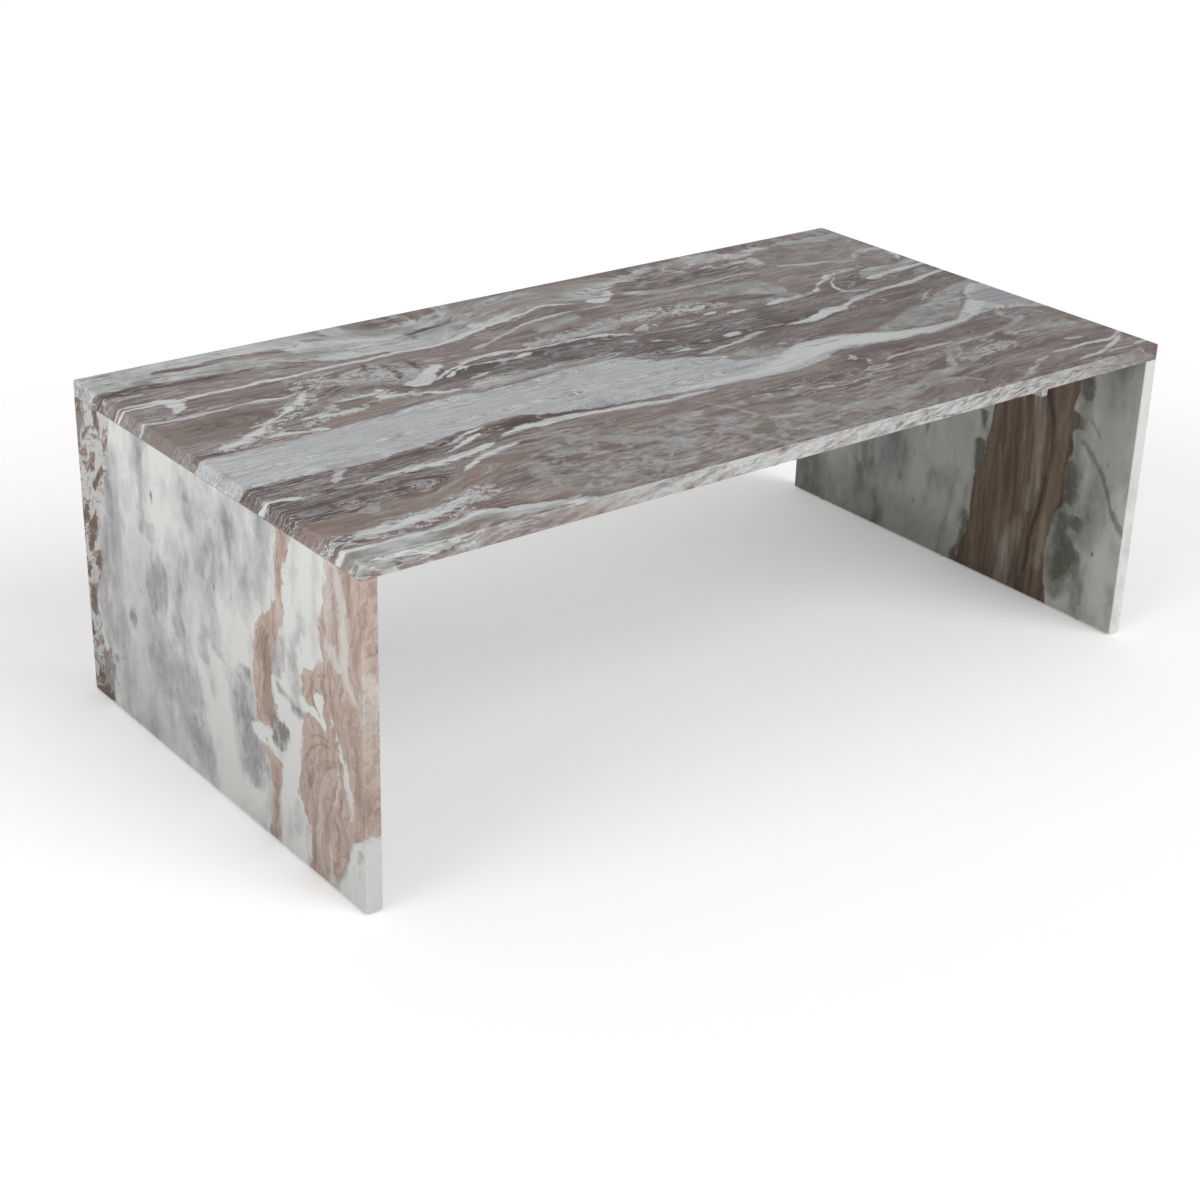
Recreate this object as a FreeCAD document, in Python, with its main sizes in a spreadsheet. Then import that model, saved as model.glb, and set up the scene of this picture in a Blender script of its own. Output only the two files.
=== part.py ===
# Marble coffee table: one top slab carried by two side panels, held by dowels and resin.
# Millimetres, +Z up, +X along the length. The origin is on the floor, under the middle of the top.
import FreeCAD
import Part
import Sketcher
import os

# Driving dimensions: the name of the cell, its value and what it measures
DIMENSIONS = (
    ("table_length", 1200.0, "overall length, along X"),
    ("table_depth", 632.0, "overall depth, along Y"),
    ("table_height", 410.0, "floor to the upper face of the top"),
    ("top_thickness", 20.0, "thickness of the top slab"),
    ("panel_thickness", 20.0, "thickness of a side panel"),
    ("plan_corner_radius", 3.0, "the four corners of the top, seen from above"),
    ("arris_radius", 2.0, "eased edges that a hand meets"),
    ("tight_arris_radius", 0.5, "eased edges that meet at a joint"),
    ("foot_arris_radius", 1.0, "eased edges at the foot of a panel"),
    ("bed_thickness", 0.5, "resin between the top and what is glued to it"),
    ("bed_inset", 1.5, "how far a resin bed stays inside the faces that it joins"),
    ("dowel_diameter", 8.0, "steel dowel"),
    ("dowel_length", 40.0, "steel dowel"),
    ("dowel_chamfer", 0.8, "both ends of a dowel"),
    ("dowel_end_inset", 86.0, "end of a panel to the middle of its outer dowels"),
    ("dowel_end_clearance", 0.5, "room above a dowel in the socket of the top"),
    ("groove_width", 1.2, "ring groove that keys a dowel in the resin"),
    ("groove_depth", 0.4, "ring groove that keys a dowel in the resin"),
    ("groove_pitch", 4.0, "distance between ring grooves"),
    ("groove_start", 4.0, "lower end of a dowel to the middle of its first groove"),
    ("socket_clearance", 0.3, "resin film round a dowel, on the radius"),
    ("top_socket_depth", 12.0, "blind sockets in the underside of the top"),
    ("rib_width", 10.0, "stiffening rib, along X"),
    ("rib_height", 20.0, "stiffening rib"),
    ("rib_panel_gap", 160.0, "inner face of a panel to the near side of its rib"),
    ("rib_near_setback", 22.0, "edge of the top to the near end of a rib"),
    ("rib_far_setback", 70.0, "edge of the top to the far end of a rib"),
    ("rib_arris_radius", 1.0, "lower edges of a rib"),
    ("glide_diameter", 16.0, "felt glide"),
    ("glide_thickness", 2.0, "felt glide"),
    ("glide_rim_radius", 0.5, "lower rim of a felt glide"),
    ("glide_end_inset", 60.0, "end of a panel to the middle of its outer glides"),
)

# Sizes and places that follow from the driving dimensions
TOP_UNDERSIDE = "(Sizes.table_height - Sizes.top_thickness)"
GLUED_TO_TOP = f"({TOP_UNDERSIDE} - Sizes.bed_thickness)"
PANEL_HEIGHT = f"({GLUED_TO_TOP} - Sizes.glide_thickness)"
PANEL_X = "(Sizes.table_length / 2 - Sizes.panel_thickness / 2)"
SOCKET_RADIUS = "(Sizes.dowel_diameter / 2 + Sizes.socket_clearance)"
PANEL_SOCKET_DEPTH = (
    "(Sizes.dowel_length + Sizes.dowel_end_clearance"
    " - Sizes.top_socket_depth - Sizes.bed_thickness)"
)
DOWEL_Y = "(Sizes.table_depth / 2 - Sizes.dowel_end_inset)"
DOWEL_FOOT = f"({GLUED_TO_TOP} - {PANEL_SOCKET_DEPTH})"
GROOVE_COUNT = "floor((Sizes.dowel_length - Sizes.groove_start * 2) / Sizes.groove_pitch) + 1"
RIB_X = (
    "(Sizes.table_length / 2 - Sizes.panel_thickness"
    " - Sizes.rib_panel_gap - Sizes.rib_width / 2)"
)
RIB_LENGTH = "(Sizes.table_depth - Sizes.rib_near_setback - Sizes.rib_far_setback)"
RIB_Y = "((Sizes.rib_near_setback - Sizes.rib_far_setback) / 2)"
GLIDE_Y = "(Sizes.table_depth / 2 - Sizes.glide_end_inset)"

# The two ends of the table along X, and the three places along a panel, with their signs
SIDES = (("left", -1), ("right", 1))
PLACES = (("front", -1), ("middle", 0), ("back", 1))

UP = FreeCAD.Vector(0, 0, 1)
DOWN = -UP
PARALLEL_TOLERANCE = 1e-6


def make_sheet(doc):
    """Spreadsheet with one aliased cell for each driving dimension."""
    sheet = doc.addObject("Spreadsheet::Sheet", "Sizes")
    for row, (alias, value, meaning) in enumerate(DIMENSIONS, 1):
        sheet.set(f"A{row}", meaning)
        sheet.set(f"B{row}", str(value))
        sheet.setAlias(f"B{row}", alias)
    doc.recompute()


def add_body(doc, name, x="0", y="0", z="0"):
    """Empty body whose place is bound to the sheet."""
    body = doc.addObject("PartDesign::Body", name)
    body.Label = name
    for axis, place in zip("xyz", (x, y, z)):
        body.setExpression(f"Placement.Base.{axis}", place)
    return body


def add_feature(body, kind, name):
    """Feature of a body, named after the body."""
    return body.newObject(kind, f"{body.Name}_{name}")


def add_sketch(body, name, role="XY_Plane", x="0", y="0", z="0"):
    """Empty sketch on one of the body's own planes, moved within it by bound offsets."""
    sketch = add_feature(body, "Sketcher::SketchObject", name)
    plane = next(item for item in body.Origin.OriginFeatures if item.Role == role)
    sketch.AttachmentSupport = (plane, [""])
    sketch.MapMode = "FlatFace"
    for axis, place in zip("xyz", (x, y, z)):
        sketch.setExpression(f"AttachmentOffset.Base.{axis}", place)
    return sketch


def add_size(sketch, name, size, *constraint):
    """Named dimension of a sketch, bound to the sheet."""
    index = sketch.addConstraint(Sketcher.Constraint(*constraint, 1))
    sketch.renameConstraint(index, name)
    sketch.setExpression(f"Constraints.{name}", size)


def draw_rectangle(sketch, width, height):
    """Rectangle centred on the origin of the sketch."""
    corners = [FreeCAD.Vector(x, y, 0) for x, y in ((-1, -1), (1, -1), (1, 1), (-1, 1))]
    for start, end in zip(corners, corners[1:] + corners[:1]):
        sketch.addGeometry(Part.LineSegment(start, end))
    for line, following in ((0, 1), (1, 2), (2, 3), (3, 0)):
        sketch.addConstraint(Sketcher.Constraint("Coincident", line, 2, following, 1))
    for line in (0, 2):
        sketch.addConstraint(Sketcher.Constraint("Horizontal", line))
    for line in (1, 3):
        sketch.addConstraint(Sketcher.Constraint("Vertical", line))
    sketch.addConstraint(Sketcher.Constraint("Symmetric", 0, 1, 1, 2, -1, 1))
    add_size(sketch, "width", width, "DistanceX", 0, 1, 0, 2)
    add_size(sketch, "height", height, "DistanceY", 1, 1, 1, 2)


def draw_circle(sketch, radius):
    """Circle centred on the origin of the sketch."""
    circle = sketch.addGeometry(Part.Circle(FreeCAD.Vector(), UP, 1))
    sketch.addConstraint(Sketcher.Constraint("Coincident", circle, 3, -1, 1))
    add_size(sketch, "radius", radius, "Radius", circle)


def add_pad(body, sketch, length, both_ways=False):
    """Solid raised from a sketch, upwards or equally both ways."""
    pad = add_feature(body, "PartDesign::Pad", "pad")
    pad.Profile = sketch
    pad.setExpression("Length", length)
    if both_ways:
        pad.SideType = "Symmetric"
    return pad


def faces_towards(feature, *directions):
    """Names of the flat faces that look in the given directions."""
    feature.Document.recompute()
    names = []
    for number, face in enumerate(feature.Shape.Faces, 1):
        if isinstance(face.Surface, Part.Plane):
            normal = face.normalAt(0, 0)
            if any(normal.isEqual(way, PARALLEL_TOLERANCE) for way in directions):
                names.append(f"Face{number}")
    return names


def edges_along(feature, direction):
    """Names of the straight edges that run along the given direction."""
    feature.Document.recompute()
    names = []
    for number, edge in enumerate(feature.Shape.Edges, 1):
        if isinstance(edge.Curve, Part.Line):
            if edge.Curve.Direction.cross(direction).Length < PARALLEL_TOLERANCE:
                names.append(f"Edge{number}")
    return names


def ease(body, base, name, places, radius):
    """Rounded arris on the named faces or edges of a feature."""
    fillet = add_feature(body, "PartDesign::Fillet", name)
    fillet.Base = (base, places)
    fillet.setExpression("Radius", radius)
    return fillet


def cut_round(body, name, radius, depth, upwards=False, **place):
    """Round pocket cut from a place on the body's XY plane, downwards or upwards."""
    body.Document.recompute()
    volume_before = body.Shape.Volume
    sketch = add_sketch(body, f"{name}_sketch", **place)
    draw_circle(sketch, radius)
    pocket = add_feature(body, "PartDesign::Pocket", name)
    pocket.Profile = sketch
    pocket.setExpression("Length", depth)
    pocket.Reversed = upwards
    body.Document.recompute()
    if body.Shape.Volume >= volume_before:
        raise RuntimeError(f"{pocket.Name} cuts nothing")


def build_top(doc):
    """Top slab, with blind sockets in its underside for the dowels."""
    body = add_body(doc, "top_slab", z=TOP_UNDERSIDE)
    outline = add_sketch(body, "outline")
    draw_rectangle(outline, "Sizes.table_length", "Sizes.table_depth")
    slab = add_pad(body, outline, "Sizes.top_thickness")
    slab = ease(body, slab, "corners", edges_along(slab, UP), "Sizes.plan_corner_radius")
    slab = ease(body, slab, "upper_arris", faces_towards(slab, UP), "Sizes.arris_radius")
    ease(body, slab, "lower_arris", faces_towards(slab, DOWN), "Sizes.tight_arris_radius")
    for side, end in SIDES:
        for place, way in PLACES:
            cut_round(
                body, f"{side}_{place}_socket", SOCKET_RADIUS, "Sizes.top_socket_depth",
                upwards=True, x=f"{end} * {PANEL_X}", y=f"{way} * {DOWEL_Y}",
            )
    return body


def build_panel(doc, side, end):
    """Side panel, with blind sockets in its upper edge for the dowels."""
    body = add_body(doc, f"{side}_panel", x=f"{end} * {PANEL_X}", z="Sizes.glide_thickness")
    outline = add_sketch(body, "outline")
    draw_rectangle(outline, "Sizes.panel_thickness", "Sizes.table_depth")
    panel = add_pad(body, outline, PANEL_HEIGHT)
    panel = ease(body, panel, "upright_arris", edges_along(panel, UP), "Sizes.arris_radius")
    panel = ease(body, panel, "upper_arris", faces_towards(panel, UP), "Sizes.tight_arris_radius")
    ease(body, panel, "foot_arris", faces_towards(panel, DOWN), "Sizes.foot_arris_radius")
    for place, way in PLACES:
        cut_round(
            body, f"{place}_socket", SOCKET_RADIUS, PANEL_SOCKET_DEPTH,
            y=f"{way} * {DOWEL_Y}", z=PANEL_HEIGHT,
        )
    return body


def build_joint_bed(doc, side, end):
    """Resin bed between the top and a panel, which the dowels pass through."""
    body = add_body(doc, f"{side}_joint_resin", x=f"{end} * {PANEL_X}", z=GLUED_TO_TOP)
    outline = add_sketch(body, "outline")
    draw_rectangle(
        outline,
        "Sizes.panel_thickness - Sizes.bed_inset * 2",
        "Sizes.table_depth - Sizes.bed_inset * 2",
    )
    add_pad(body, outline, "Sizes.bed_thickness")
    for place, way in PLACES:
        cut_round(
            body, f"{place}_hole", SOCKET_RADIUS, "Sizes.bed_thickness",
            upwards=True, y=f"{way} * {DOWEL_Y}",
        )
    return body


def build_dowel(doc, side, end, place, way):
    """Steel dowel across the joint of the top and a panel, with ring grooves for the resin."""
    body = add_body(
        doc, f"{side}_{place}_dowel",
        x=f"{end} * {PANEL_X}", y=f"{way} * {DOWEL_Y}", z=DOWEL_FOOT,
    )
    section = add_sketch(body, "section")
    draw_circle(section, "Sizes.dowel_diameter / 2")
    rod = add_pad(body, section, "Sizes.dowel_length")
    ends = add_feature(body, "PartDesign::Chamfer", "ends")
    ends.Base = (rod, faces_towards(rod, UP, DOWN))
    ends.setExpression("Size", "Sizes.dowel_chamfer")
    doc.recompute()
    ring = add_sketch(
        body, "ring", role="XZ_Plane", x="Sizes.dowel_diameter / 2", y="Sizes.groove_start"
    )
    draw_rectangle(ring, "Sizes.groove_depth * 2", "Sizes.groove_width")
    groove = add_feature(body, "PartDesign::Groove", "groove")
    groove.Profile = ring
    axis = next(item for item in body.Origin.OriginFeatures if item.Role == "Z_Axis")
    groove.ReferenceAxis = (axis, [""])
    doc.recompute()
    if groove.Shape.Volume >= ends.Shape.Volume:
        raise RuntimeError(f"{groove.Name} cuts nothing")
    grooves = add_feature(body, "PartDesign::LinearPattern", "grooves")
    grooves.Originals = [groove]
    grooves.Direction = (axis, [""])
    grooves.setExpression("Occurrences", GROOVE_COUNT)
    grooves.setExpression("Length", f"({GROOVE_COUNT} - 1) * Sizes.groove_pitch")
    body.Tip = grooves
    return body


def build_rib(doc, side, end):
    """Stiffening rib under the top, inside of a panel. The two ribs are half a turn apart."""
    body = add_body(
        doc, f"{side}_rib",
        x=f"{end} * {RIB_X}", y=f"{end} * {RIB_Y}", z=f"{GLUED_TO_TOP} - Sizes.rib_height / 2",
    )
    section = add_sketch(body, "section", role="XZ_Plane")
    draw_rectangle(section, "Sizes.rib_width", "Sizes.rib_height")
    bar = add_pad(body, section, RIB_LENGTH, both_ways=True)
    ease(body, bar, "lower_arris", faces_towards(bar, DOWN), "Sizes.rib_arris_radius")
    return body


def build_rib_bed(doc, side, end):
    """Resin bed between the top and a rib."""
    body = add_body(
        doc, f"{side}_rib_resin", x=f"{end} * {RIB_X}", y=f"{end} * {RIB_Y}", z=GLUED_TO_TOP
    )
    outline = add_sketch(body, "outline")
    draw_rectangle(
        outline,
        "Sizes.rib_width - Sizes.bed_inset * 2",
        f"{RIB_LENGTH} - Sizes.bed_inset * 2",
    )
    add_pad(body, outline, "Sizes.bed_thickness")
    return body


def build_glide(doc, side, end, place, way):
    """Round felt glide between a panel and the floor."""
    body = add_body(
        doc, f"{side}_{place}_glide", x=f"{end} * {PANEL_X}", y=f"{way} * {GLIDE_Y}"
    )
    section = add_sketch(body, "section")
    draw_circle(section, "Sizes.glide_diameter / 2")
    disc = add_pad(body, section, "Sizes.glide_thickness")
    ease(body, disc, "rim", faces_towards(disc, DOWN), "Sizes.glide_rim_radius")
    return body


def check(doc, subparts):
    """Stop if any object failed or any sub-part is not one sound solid."""
    for item in doc.Objects:
        if "Invalid" in item.State or "Error" in item.State:
            raise RuntimeError(f"{item.Name} failed: {item.State}")
    for subpart in subparts:
        shape = subpart.Shape
        if shape.isNull() or not shape.isValid() or len(shape.Solids) != 1:
            raise RuntimeError(f"{subpart.Label} is not one sound solid")


def main():
    doc = FreeCAD.newDocument("marble_coffee_table")
    make_sheet(doc)
    subparts = [build_top(doc)]
    for side, end in SIDES:
        subparts.append(build_panel(doc, side, end))
        subparts.append(build_joint_bed(doc, side, end))
        subparts.append(build_rib(doc, side, end))
        subparts.append(build_rib_bed(doc, side, end))
        for place, way in PLACES:
            subparts.append(build_dowel(doc, side, end, place, way))
            subparts.append(build_glide(doc, side, end, place, way))
    doc.recompute()
    check(doc, subparts)
    os.makedirs("parts", exist_ok=True)
    for subpart in subparts:
        subpart.Shape.exportStep(f"parts/{subpart.Label}.step")


main()
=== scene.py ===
import math
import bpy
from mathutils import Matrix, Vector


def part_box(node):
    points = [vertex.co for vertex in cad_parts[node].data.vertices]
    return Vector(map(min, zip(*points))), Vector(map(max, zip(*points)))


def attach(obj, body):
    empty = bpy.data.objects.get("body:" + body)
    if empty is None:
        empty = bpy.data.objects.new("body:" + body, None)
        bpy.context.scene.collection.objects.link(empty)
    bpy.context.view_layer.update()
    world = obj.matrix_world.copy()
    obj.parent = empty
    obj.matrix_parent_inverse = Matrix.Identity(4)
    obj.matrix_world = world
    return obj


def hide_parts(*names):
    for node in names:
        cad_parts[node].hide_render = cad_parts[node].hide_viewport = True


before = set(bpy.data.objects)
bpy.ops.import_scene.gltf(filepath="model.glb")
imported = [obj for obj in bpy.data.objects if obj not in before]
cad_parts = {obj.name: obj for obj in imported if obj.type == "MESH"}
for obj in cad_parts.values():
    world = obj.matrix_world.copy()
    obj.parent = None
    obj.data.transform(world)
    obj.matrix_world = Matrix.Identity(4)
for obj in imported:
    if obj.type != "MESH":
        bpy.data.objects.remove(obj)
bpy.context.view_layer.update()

from types import SimpleNamespace
from typing import NamedTuple

import bmesh
import bpy
from mathutils import Matrix, Vector

bl_info = {
    "name": "Marble coffee table",
    "version": (1, 0, 0),
    "blender": (4, 5, 0),
    "location": "View3D > Sidebar > Table",
    "description": "Slabs, glides and studio of a marble coffee table",
    "category": "Object",
}

MM = 0.001
SIDES = ("left", "right")
PLACES = ("front", "middle", "back")
BODY = "root"

# The photograph's camera: place in metres, angles in degrees, lens and sensor in millimetres
CAMERA_PLACE = (-1.6560, -2.0241, 1.3223)
CAMERA_AZIMUTH = -38.456
CAMERA_ELEVATION = 25.339
CAMERA_ROLL = 1.711
CAMERA_LENS = 67.31
CAMERA_SENSOR = 36.0
# Ways from the table to the two soft lights
LEFT_LIGHT_WAY = (-0.94, -0.05, 0.32)
FRONT_LIGHT_WAY = (0.28, -0.8, 0.53)
# Side of the floor, and how far it lies below the glides, in metres
FLOOR_SIZE = 60.0
FLOOR_DROP = 0.2 * MM
WHITE = (1, 1, 1, 1)

# Places nearer than this are the same, in metres
CLOSE = 1e-5
# An edge is upright if its direction rises by more than this, and level if by less than that
UPRIGHT_RISE = 0.9
LEVEL_RISE = 0.5
# Bevel profile of a quarter circle
ROUND = 0.5
# Faces that meet at less than this angle are shaded as one, in degrees
SMOOTH_ANGLE = 40
# Flat sides of a dowel's socket and of a glide
SOCKET_SIDES = 48
GLIDE_SIDES = 64


def linear(hex_colour):
    """Linear colour with full alpha from an sRGB hex value."""
    channels = [int(hex_colour[i:i + 2], 16) / 255 for i in (1, 3, 5)]
    return [c / 12.92 if c <= 0.04045 else ((c + 0.055) / 1.055) ** 2.4 for c in channels] + [1.0]


def colour_property(name, description, hex_colour):
    """Colour that a user can change, given as a hex value."""
    return bpy.props.FloatVectorProperty(
        name=name, description=description, subtype="COLOR", size=4, min=0, max=1,
        default=linear(hex_colour),
    )


def strength_property(name, description, strength):
    """Strength of a light that a user can change."""
    return bpy.props.FloatProperty(name=name, description=description, default=strength, min=0)


def length_property(name, description, millimetres):
    """Length that a user can change, given in millimetres."""
    return bpy.props.FloatProperty(
        name=name, description=description, subtype="DISTANCE", unit="LENGTH", min=0,
        default=millimetres * MM, precision=4,
    )


class TableStoneColours(bpy.types.PropertyGroup):
    """Colours of the three slabs' stone."""
    soot: colour_property("Soot", "Darkest streaks of the top", "#372828")
    plum: colour_property("Plum", "Dark band below the pale river", "#4E3B3A")
    umber: colour_property("Umber", "Dark brown bands of the top", "#604C48")
    mauve: colour_property("Mauve", "Brown with a violet cast", "#755F5A")
    taupe: colour_property("Taupe", "Most of the top's brown", "#8F7C76")
    olive: colour_property("Olive", "Brown with a green cast", "#867A70")
    tan: colour_property("Tan", "Warm patches of the top", "#9E897A")
    sage: colour_property("Sage", "Grey with a green cast", "#9B9B97")
    ash: colour_property("Ash", "Pale grey zones of the top", "#C1C4C3")
    mist: colour_property("Mist", "Blue-grey of the pale river", "#BDBFC1")
    slate: colour_property("Slate", "Dark blue-grey", "#9A9EA3")
    frost: colour_property("Frost", "White veins of the top", "#E0E3E2")
    chalk: colour_property("Chalk", "White ground of the panels", "#DADAD7")
    pearl: colour_property("Pearl", "Pale grey of the panels", "#BEBEBD")
    cloud: colour_property("Cloud", "Grey clouds of the panels", "#858689")
    rose: colour_property("Rose", "Pink-brown of the panels", "#B9A296")
    rose_pale: colour_property("Pale rose", "Palest lines in the pink-brown", "#C3B2A8")
    clay_rose: colour_property("Dull rose", "Dull lines in the pink-brown", "#A18D81")
    clay: colour_property("Clay", "Darker lines in the pink-brown", "#8B7666")
    bark: colour_property("Bark", "Dark brown of the panels", "#5A443A")
    rust: colour_property("Rust", "Red-brown lines of the right panel", "#6B584A")
    moss: colour_property("Moss", "Green-grey smudges of the panels", "#5F6558")


class TableSlabSizes(bpy.types.PropertyGroup):
    """Sizes of the slabs' eased edges."""
    corner_radius: length_property("Plan corner", "Corners of the top, seen from above", 3.0)
    arris_radius: length_property("Arris", "Eased edges that a hand meets", 2.0)
    tight_arris_radius: length_property("Tight arris", "Eased edges that meet at a joint", 0.5)
    foot_arris_radius: length_property("Foot arris", "Eased edges at the foot of a panel", 1.0)
    glide_rim_radius: length_property("Glide rim", "Pressed lower rim of a felt glide", 0.5)
    socket_clearance: length_property("Socket clearance", "Gap round a dowel in its socket", 0.3)
    arris_steps: bpy.props.IntProperty(
        name="Arris steps", description="Flat faces across an eased edge", default=5, min=1
    )


class TableFittings(bpy.types.PropertyGroup):
    """Colours of the felt, the resin and the dowels."""
    felt: colour_property("Felt", "Loose fibres of the glides", "#6B645D")
    felt_dark: colour_property("Felt, pressed", "Pressed body of the glides", "#45403B")
    resin: colour_property("Resin", "Stone-coloured resin", "#B3AFA8")
    resin_dark: colour_property("Resin, shaded", "Filler in the resin", "#8F8A83")
    steel: colour_property("Steel", "Bright draw lines of the dowels", "#B8BABD")
    steel_dark: colour_property("Steel, dull", "Dull draw lines of the dowels", "#8D9094")


class TableStudio(bpy.types.PropertyGroup):
    """Light and floor of the studio."""
    left_strength: strength_property("Left light", "Low soft light on the left panel", 1.3)
    front_strength: strength_property("Front light", "Soft light on the front edges", 1.58)
    light_spread: bpy.props.FloatProperty(
        name="Softness", description="Angle that each light fills", subtype="ANGLE",
        default=math.radians(45), min=0, max=math.pi,
    )
    sky_strength: strength_property("Sky", "Even light from all round", 0.45)
    reflected_strength: strength_property("Reflected sky", "Sky that the stone's sheen mirrors", 0.5)
    floor_glow: bpy.props.FloatProperty(
        name="Floor glow", description="White added to the floor that the camera sees",
        default=0.2, min=0, max=1,
    )
    floor_colour: colour_property("Floor", "Pale matt floor", "#FBFBFB")


def add_node(tree, kind, inputs=None, **settings):
    """Add one node, with its settings and with its inputs set or linked."""
    node = tree.nodes.new(kind)
    for name, value in settings.items():
        setattr(node, name, value)
    for socket, value in (inputs or {}).items():
        if isinstance(value, bpy.types.NodeSocket):
            tree.links.new(value, node.inputs[socket])
        else:
            node.inputs[socket].default_value = value
    return node


class Streak(NamedTuple):
    """Vein, band or patch of stone, drawn on a slab's sheet, in millimetres."""
    paint: str
    # Each point is (place along the streak, place across it, half width)
    points: tuple
    # Half of the width over which the rim fades
    soft: float = 2.0
    # How far the rim strays to either side of the drawn one
    fray: float = 4.0
    strength: float = 1.0
    # Runs up the sheet and not along it
    upright: bool = False


def rising(paint, points, *rim):
    """Streak that runs up the sheet."""
    return Streak(paint, points, *rim, upright=True)


def draw_line(tree, place, points):
    """Smooth line drawn through the given points, read at a place along it; all values run from 0 to 1.
    """
    node = add_node(tree, "ShaderNodeFloatCurve", {"Value": place})
    node.mapping.extend = "HORIZONTAL"
    knots = node.mapping.curves[0].points
    knots[0].location = points[0]
    knots[1].location = points[-1]
    for point in points[1:-1]:
        knots.new(*point)
    for knot in knots:
        knot.handle_type = "AUTO_CLAMPED"
    node.mapping.update()
    return node.outputs[0]


# A streak's reach falls this far short of its fading rim where it ends, in millimetres
GONE = 2.0


def lay_streak(drawing, streak):
    """Lay one streak's paint over the drawing, with frayed edges."""
    tree, span = drawing.tree, drawing.span
    along, across = drawing.places[::-1] if streak.upright else drawing.places
    margin = streak.soft + abs(streak.fray) + GONE
    middle = draw_line(tree, along, [(0.5 + a / span, 0.5 + b / span) for a, b, _ in streak.points])
    reach = draw_line(
        tree, along,
        [(0.5 + a / span, (half + margin) / span if half else 0) for a, _, half in streak.points],
    )
    offset = add_node(tree, "ShaderNodeMath", {0: across, 1: middle}, operation="SUBTRACT").outputs[0]
    distance = add_node(tree, "ShaderNodeMath", {0: offset}, operation="ABSOLUTE").outputs[0]
    depth = add_node(tree, "ShaderNodeMath", {0: reach, 1: distance}, operation="SUBTRACT").outputs[0]
    frayed = add_node(
        tree, "ShaderNodeMath", {0: drawing.fray, 1: streak.fray / span, 2: depth},
        operation="MULTIPLY_ADD",
    ).outputs[0]
    mask = add_node(
        tree, "ShaderNodeMapRange",
        {0: frayed, 1: (margin - streak.soft) / span, 2: (margin + streak.soft) / span,
         3: 0.0, 4: streak.strength},
        interpolation_type="SMOOTHSTEP",
    ).outputs[0]
    drawing.colour = add_node(
        tree, "ShaderNodeMix", {0: mask, 6: drawing.colour, 7: drawing.paints[streak.paint]},
        data_type="RGBA",
    ).outputs[2]


def soft_noise(tree, place, lengths, detail=4.0, roughness=0.6, contrast=0.3, seed=0.0):
    """Cloudy pattern from 0 to 1 whose features have the given lengths in millimetres."""
    scaled = add_node(
        tree, "ShaderNodeVectorMath",
        {0: place, 1: [1 / length for length in lengths], 2: [seed] * 3},
        operation="MULTIPLY_ADD",
    ).outputs[0]
    noise = add_node(
        tree, "ShaderNodeTexNoise",
        {"Vector": scaled, "Scale": 1.0, "Detail": detail, "Roughness": roughness},
    ).outputs[0]
    return add_node(
        tree, "ShaderNodeMapRange", {0: noise, 1: 0.5 - contrast / 2, 2: 0.5 + contrast / 2}
    ).outputs[0]


def hair_lines(tree, place, lengths, width, strength, detail=3.0, seed=0.0):
    """Thin wandering lines, drawn where a cloudy pattern passes its middle."""
    pattern = soft_noise(tree, place, lengths, detail, roughness=0.55, contrast=1.0, seed=seed)
    offset = add_node(tree, "ShaderNodeMath", {0: pattern, 1: 0.5}, operation="SUBTRACT").outputs[0]
    distance = add_node(tree, "ShaderNodeMath", {0: offset}, operation="ABSOLUTE").outputs[0]
    return add_node(
        tree, "ShaderNodeMapRange", {0: distance, 1: 0.0, 2: width, 3: strength, 4: 0.0},
        interpolation_type="SMOOTHSTEP",
    ).outputs[0]


def ramp_paint(tree, pattern, *stops, overlays=()):
    """Stone colours (place on the ramp, colour) along a pattern, with overlays (colour, mask)."""
    ramp = add_node(tree, "ShaderNodeValToRGB", {0: pattern})
    elements = ramp.color_ramp.elements
    while len(elements) < len(stops):
        elements.new(0.5)
    for element, (place, colour) in zip(elements, stops):
        element.position = place
        element.color = colour
    colour = ramp.outputs[0]
    for over, mask in overlays:
        colour = add_node(
            tree, "ShaderNodeMix", {0: mask, 6: colour, 7: over}, data_type="RGBA"
        ).outputs[2]
    return colour


def wander(tree, place, lengths, reach):
    """Place moved about by a noise, so that nothing drawn on it runs quite true."""
    scaled = add_node(
        tree, "ShaderNodeVectorMath", {0: place, 1: [1 / length for length in lengths]},
        operation="MULTIPLY",
    ).outputs[0]
    noise = add_node(
        tree, "ShaderNodeTexNoise",
        {"Vector": scaled, "Scale": 1.0, "Detail": 4.0, "Roughness": 0.6},
    ).outputs[1]
    centred = add_node(
        tree, "ShaderNodeVectorMath", {0: noise, 1: (0.5, 0.5, 0.5)}, operation="SUBTRACT"
    ).outputs[0]
    return add_node(
        tree, "ShaderNodeVectorMath", {0: centred, 1: [2 * r for r in reach], 2: place},
        operation="MULTIPLY_ADD",
    ).outputs[0]


def start_material(name):
    """New material, its node tree, and the place on the piece in millimetres."""
    material = bpy.data.materials.new(name)
    material.use_nodes = True
    tree = material.node_tree
    tree.nodes.clear()
    position = add_node(tree, "ShaderNodeTexCoord").outputs["Object"]
    place = add_node(
        tree, "ShaderNodeVectorMath", {0: position, "Scale": 1 / MM}, operation="SCALE"
    ).outputs[0]
    return material, tree, place


def sheet_places(tree, along, across, span):
    """Places along and across a square sheet, from 0 to 1; the span is its side in millimetres."""
    return [
        add_node(
            tree, "ShaderNodeMath", {0: value, 1: 1 / span, 2: 0.5}, operation="MULTIPLY_ADD"
        ).outputs[0]
        for value in (along, across)
    ]


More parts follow.
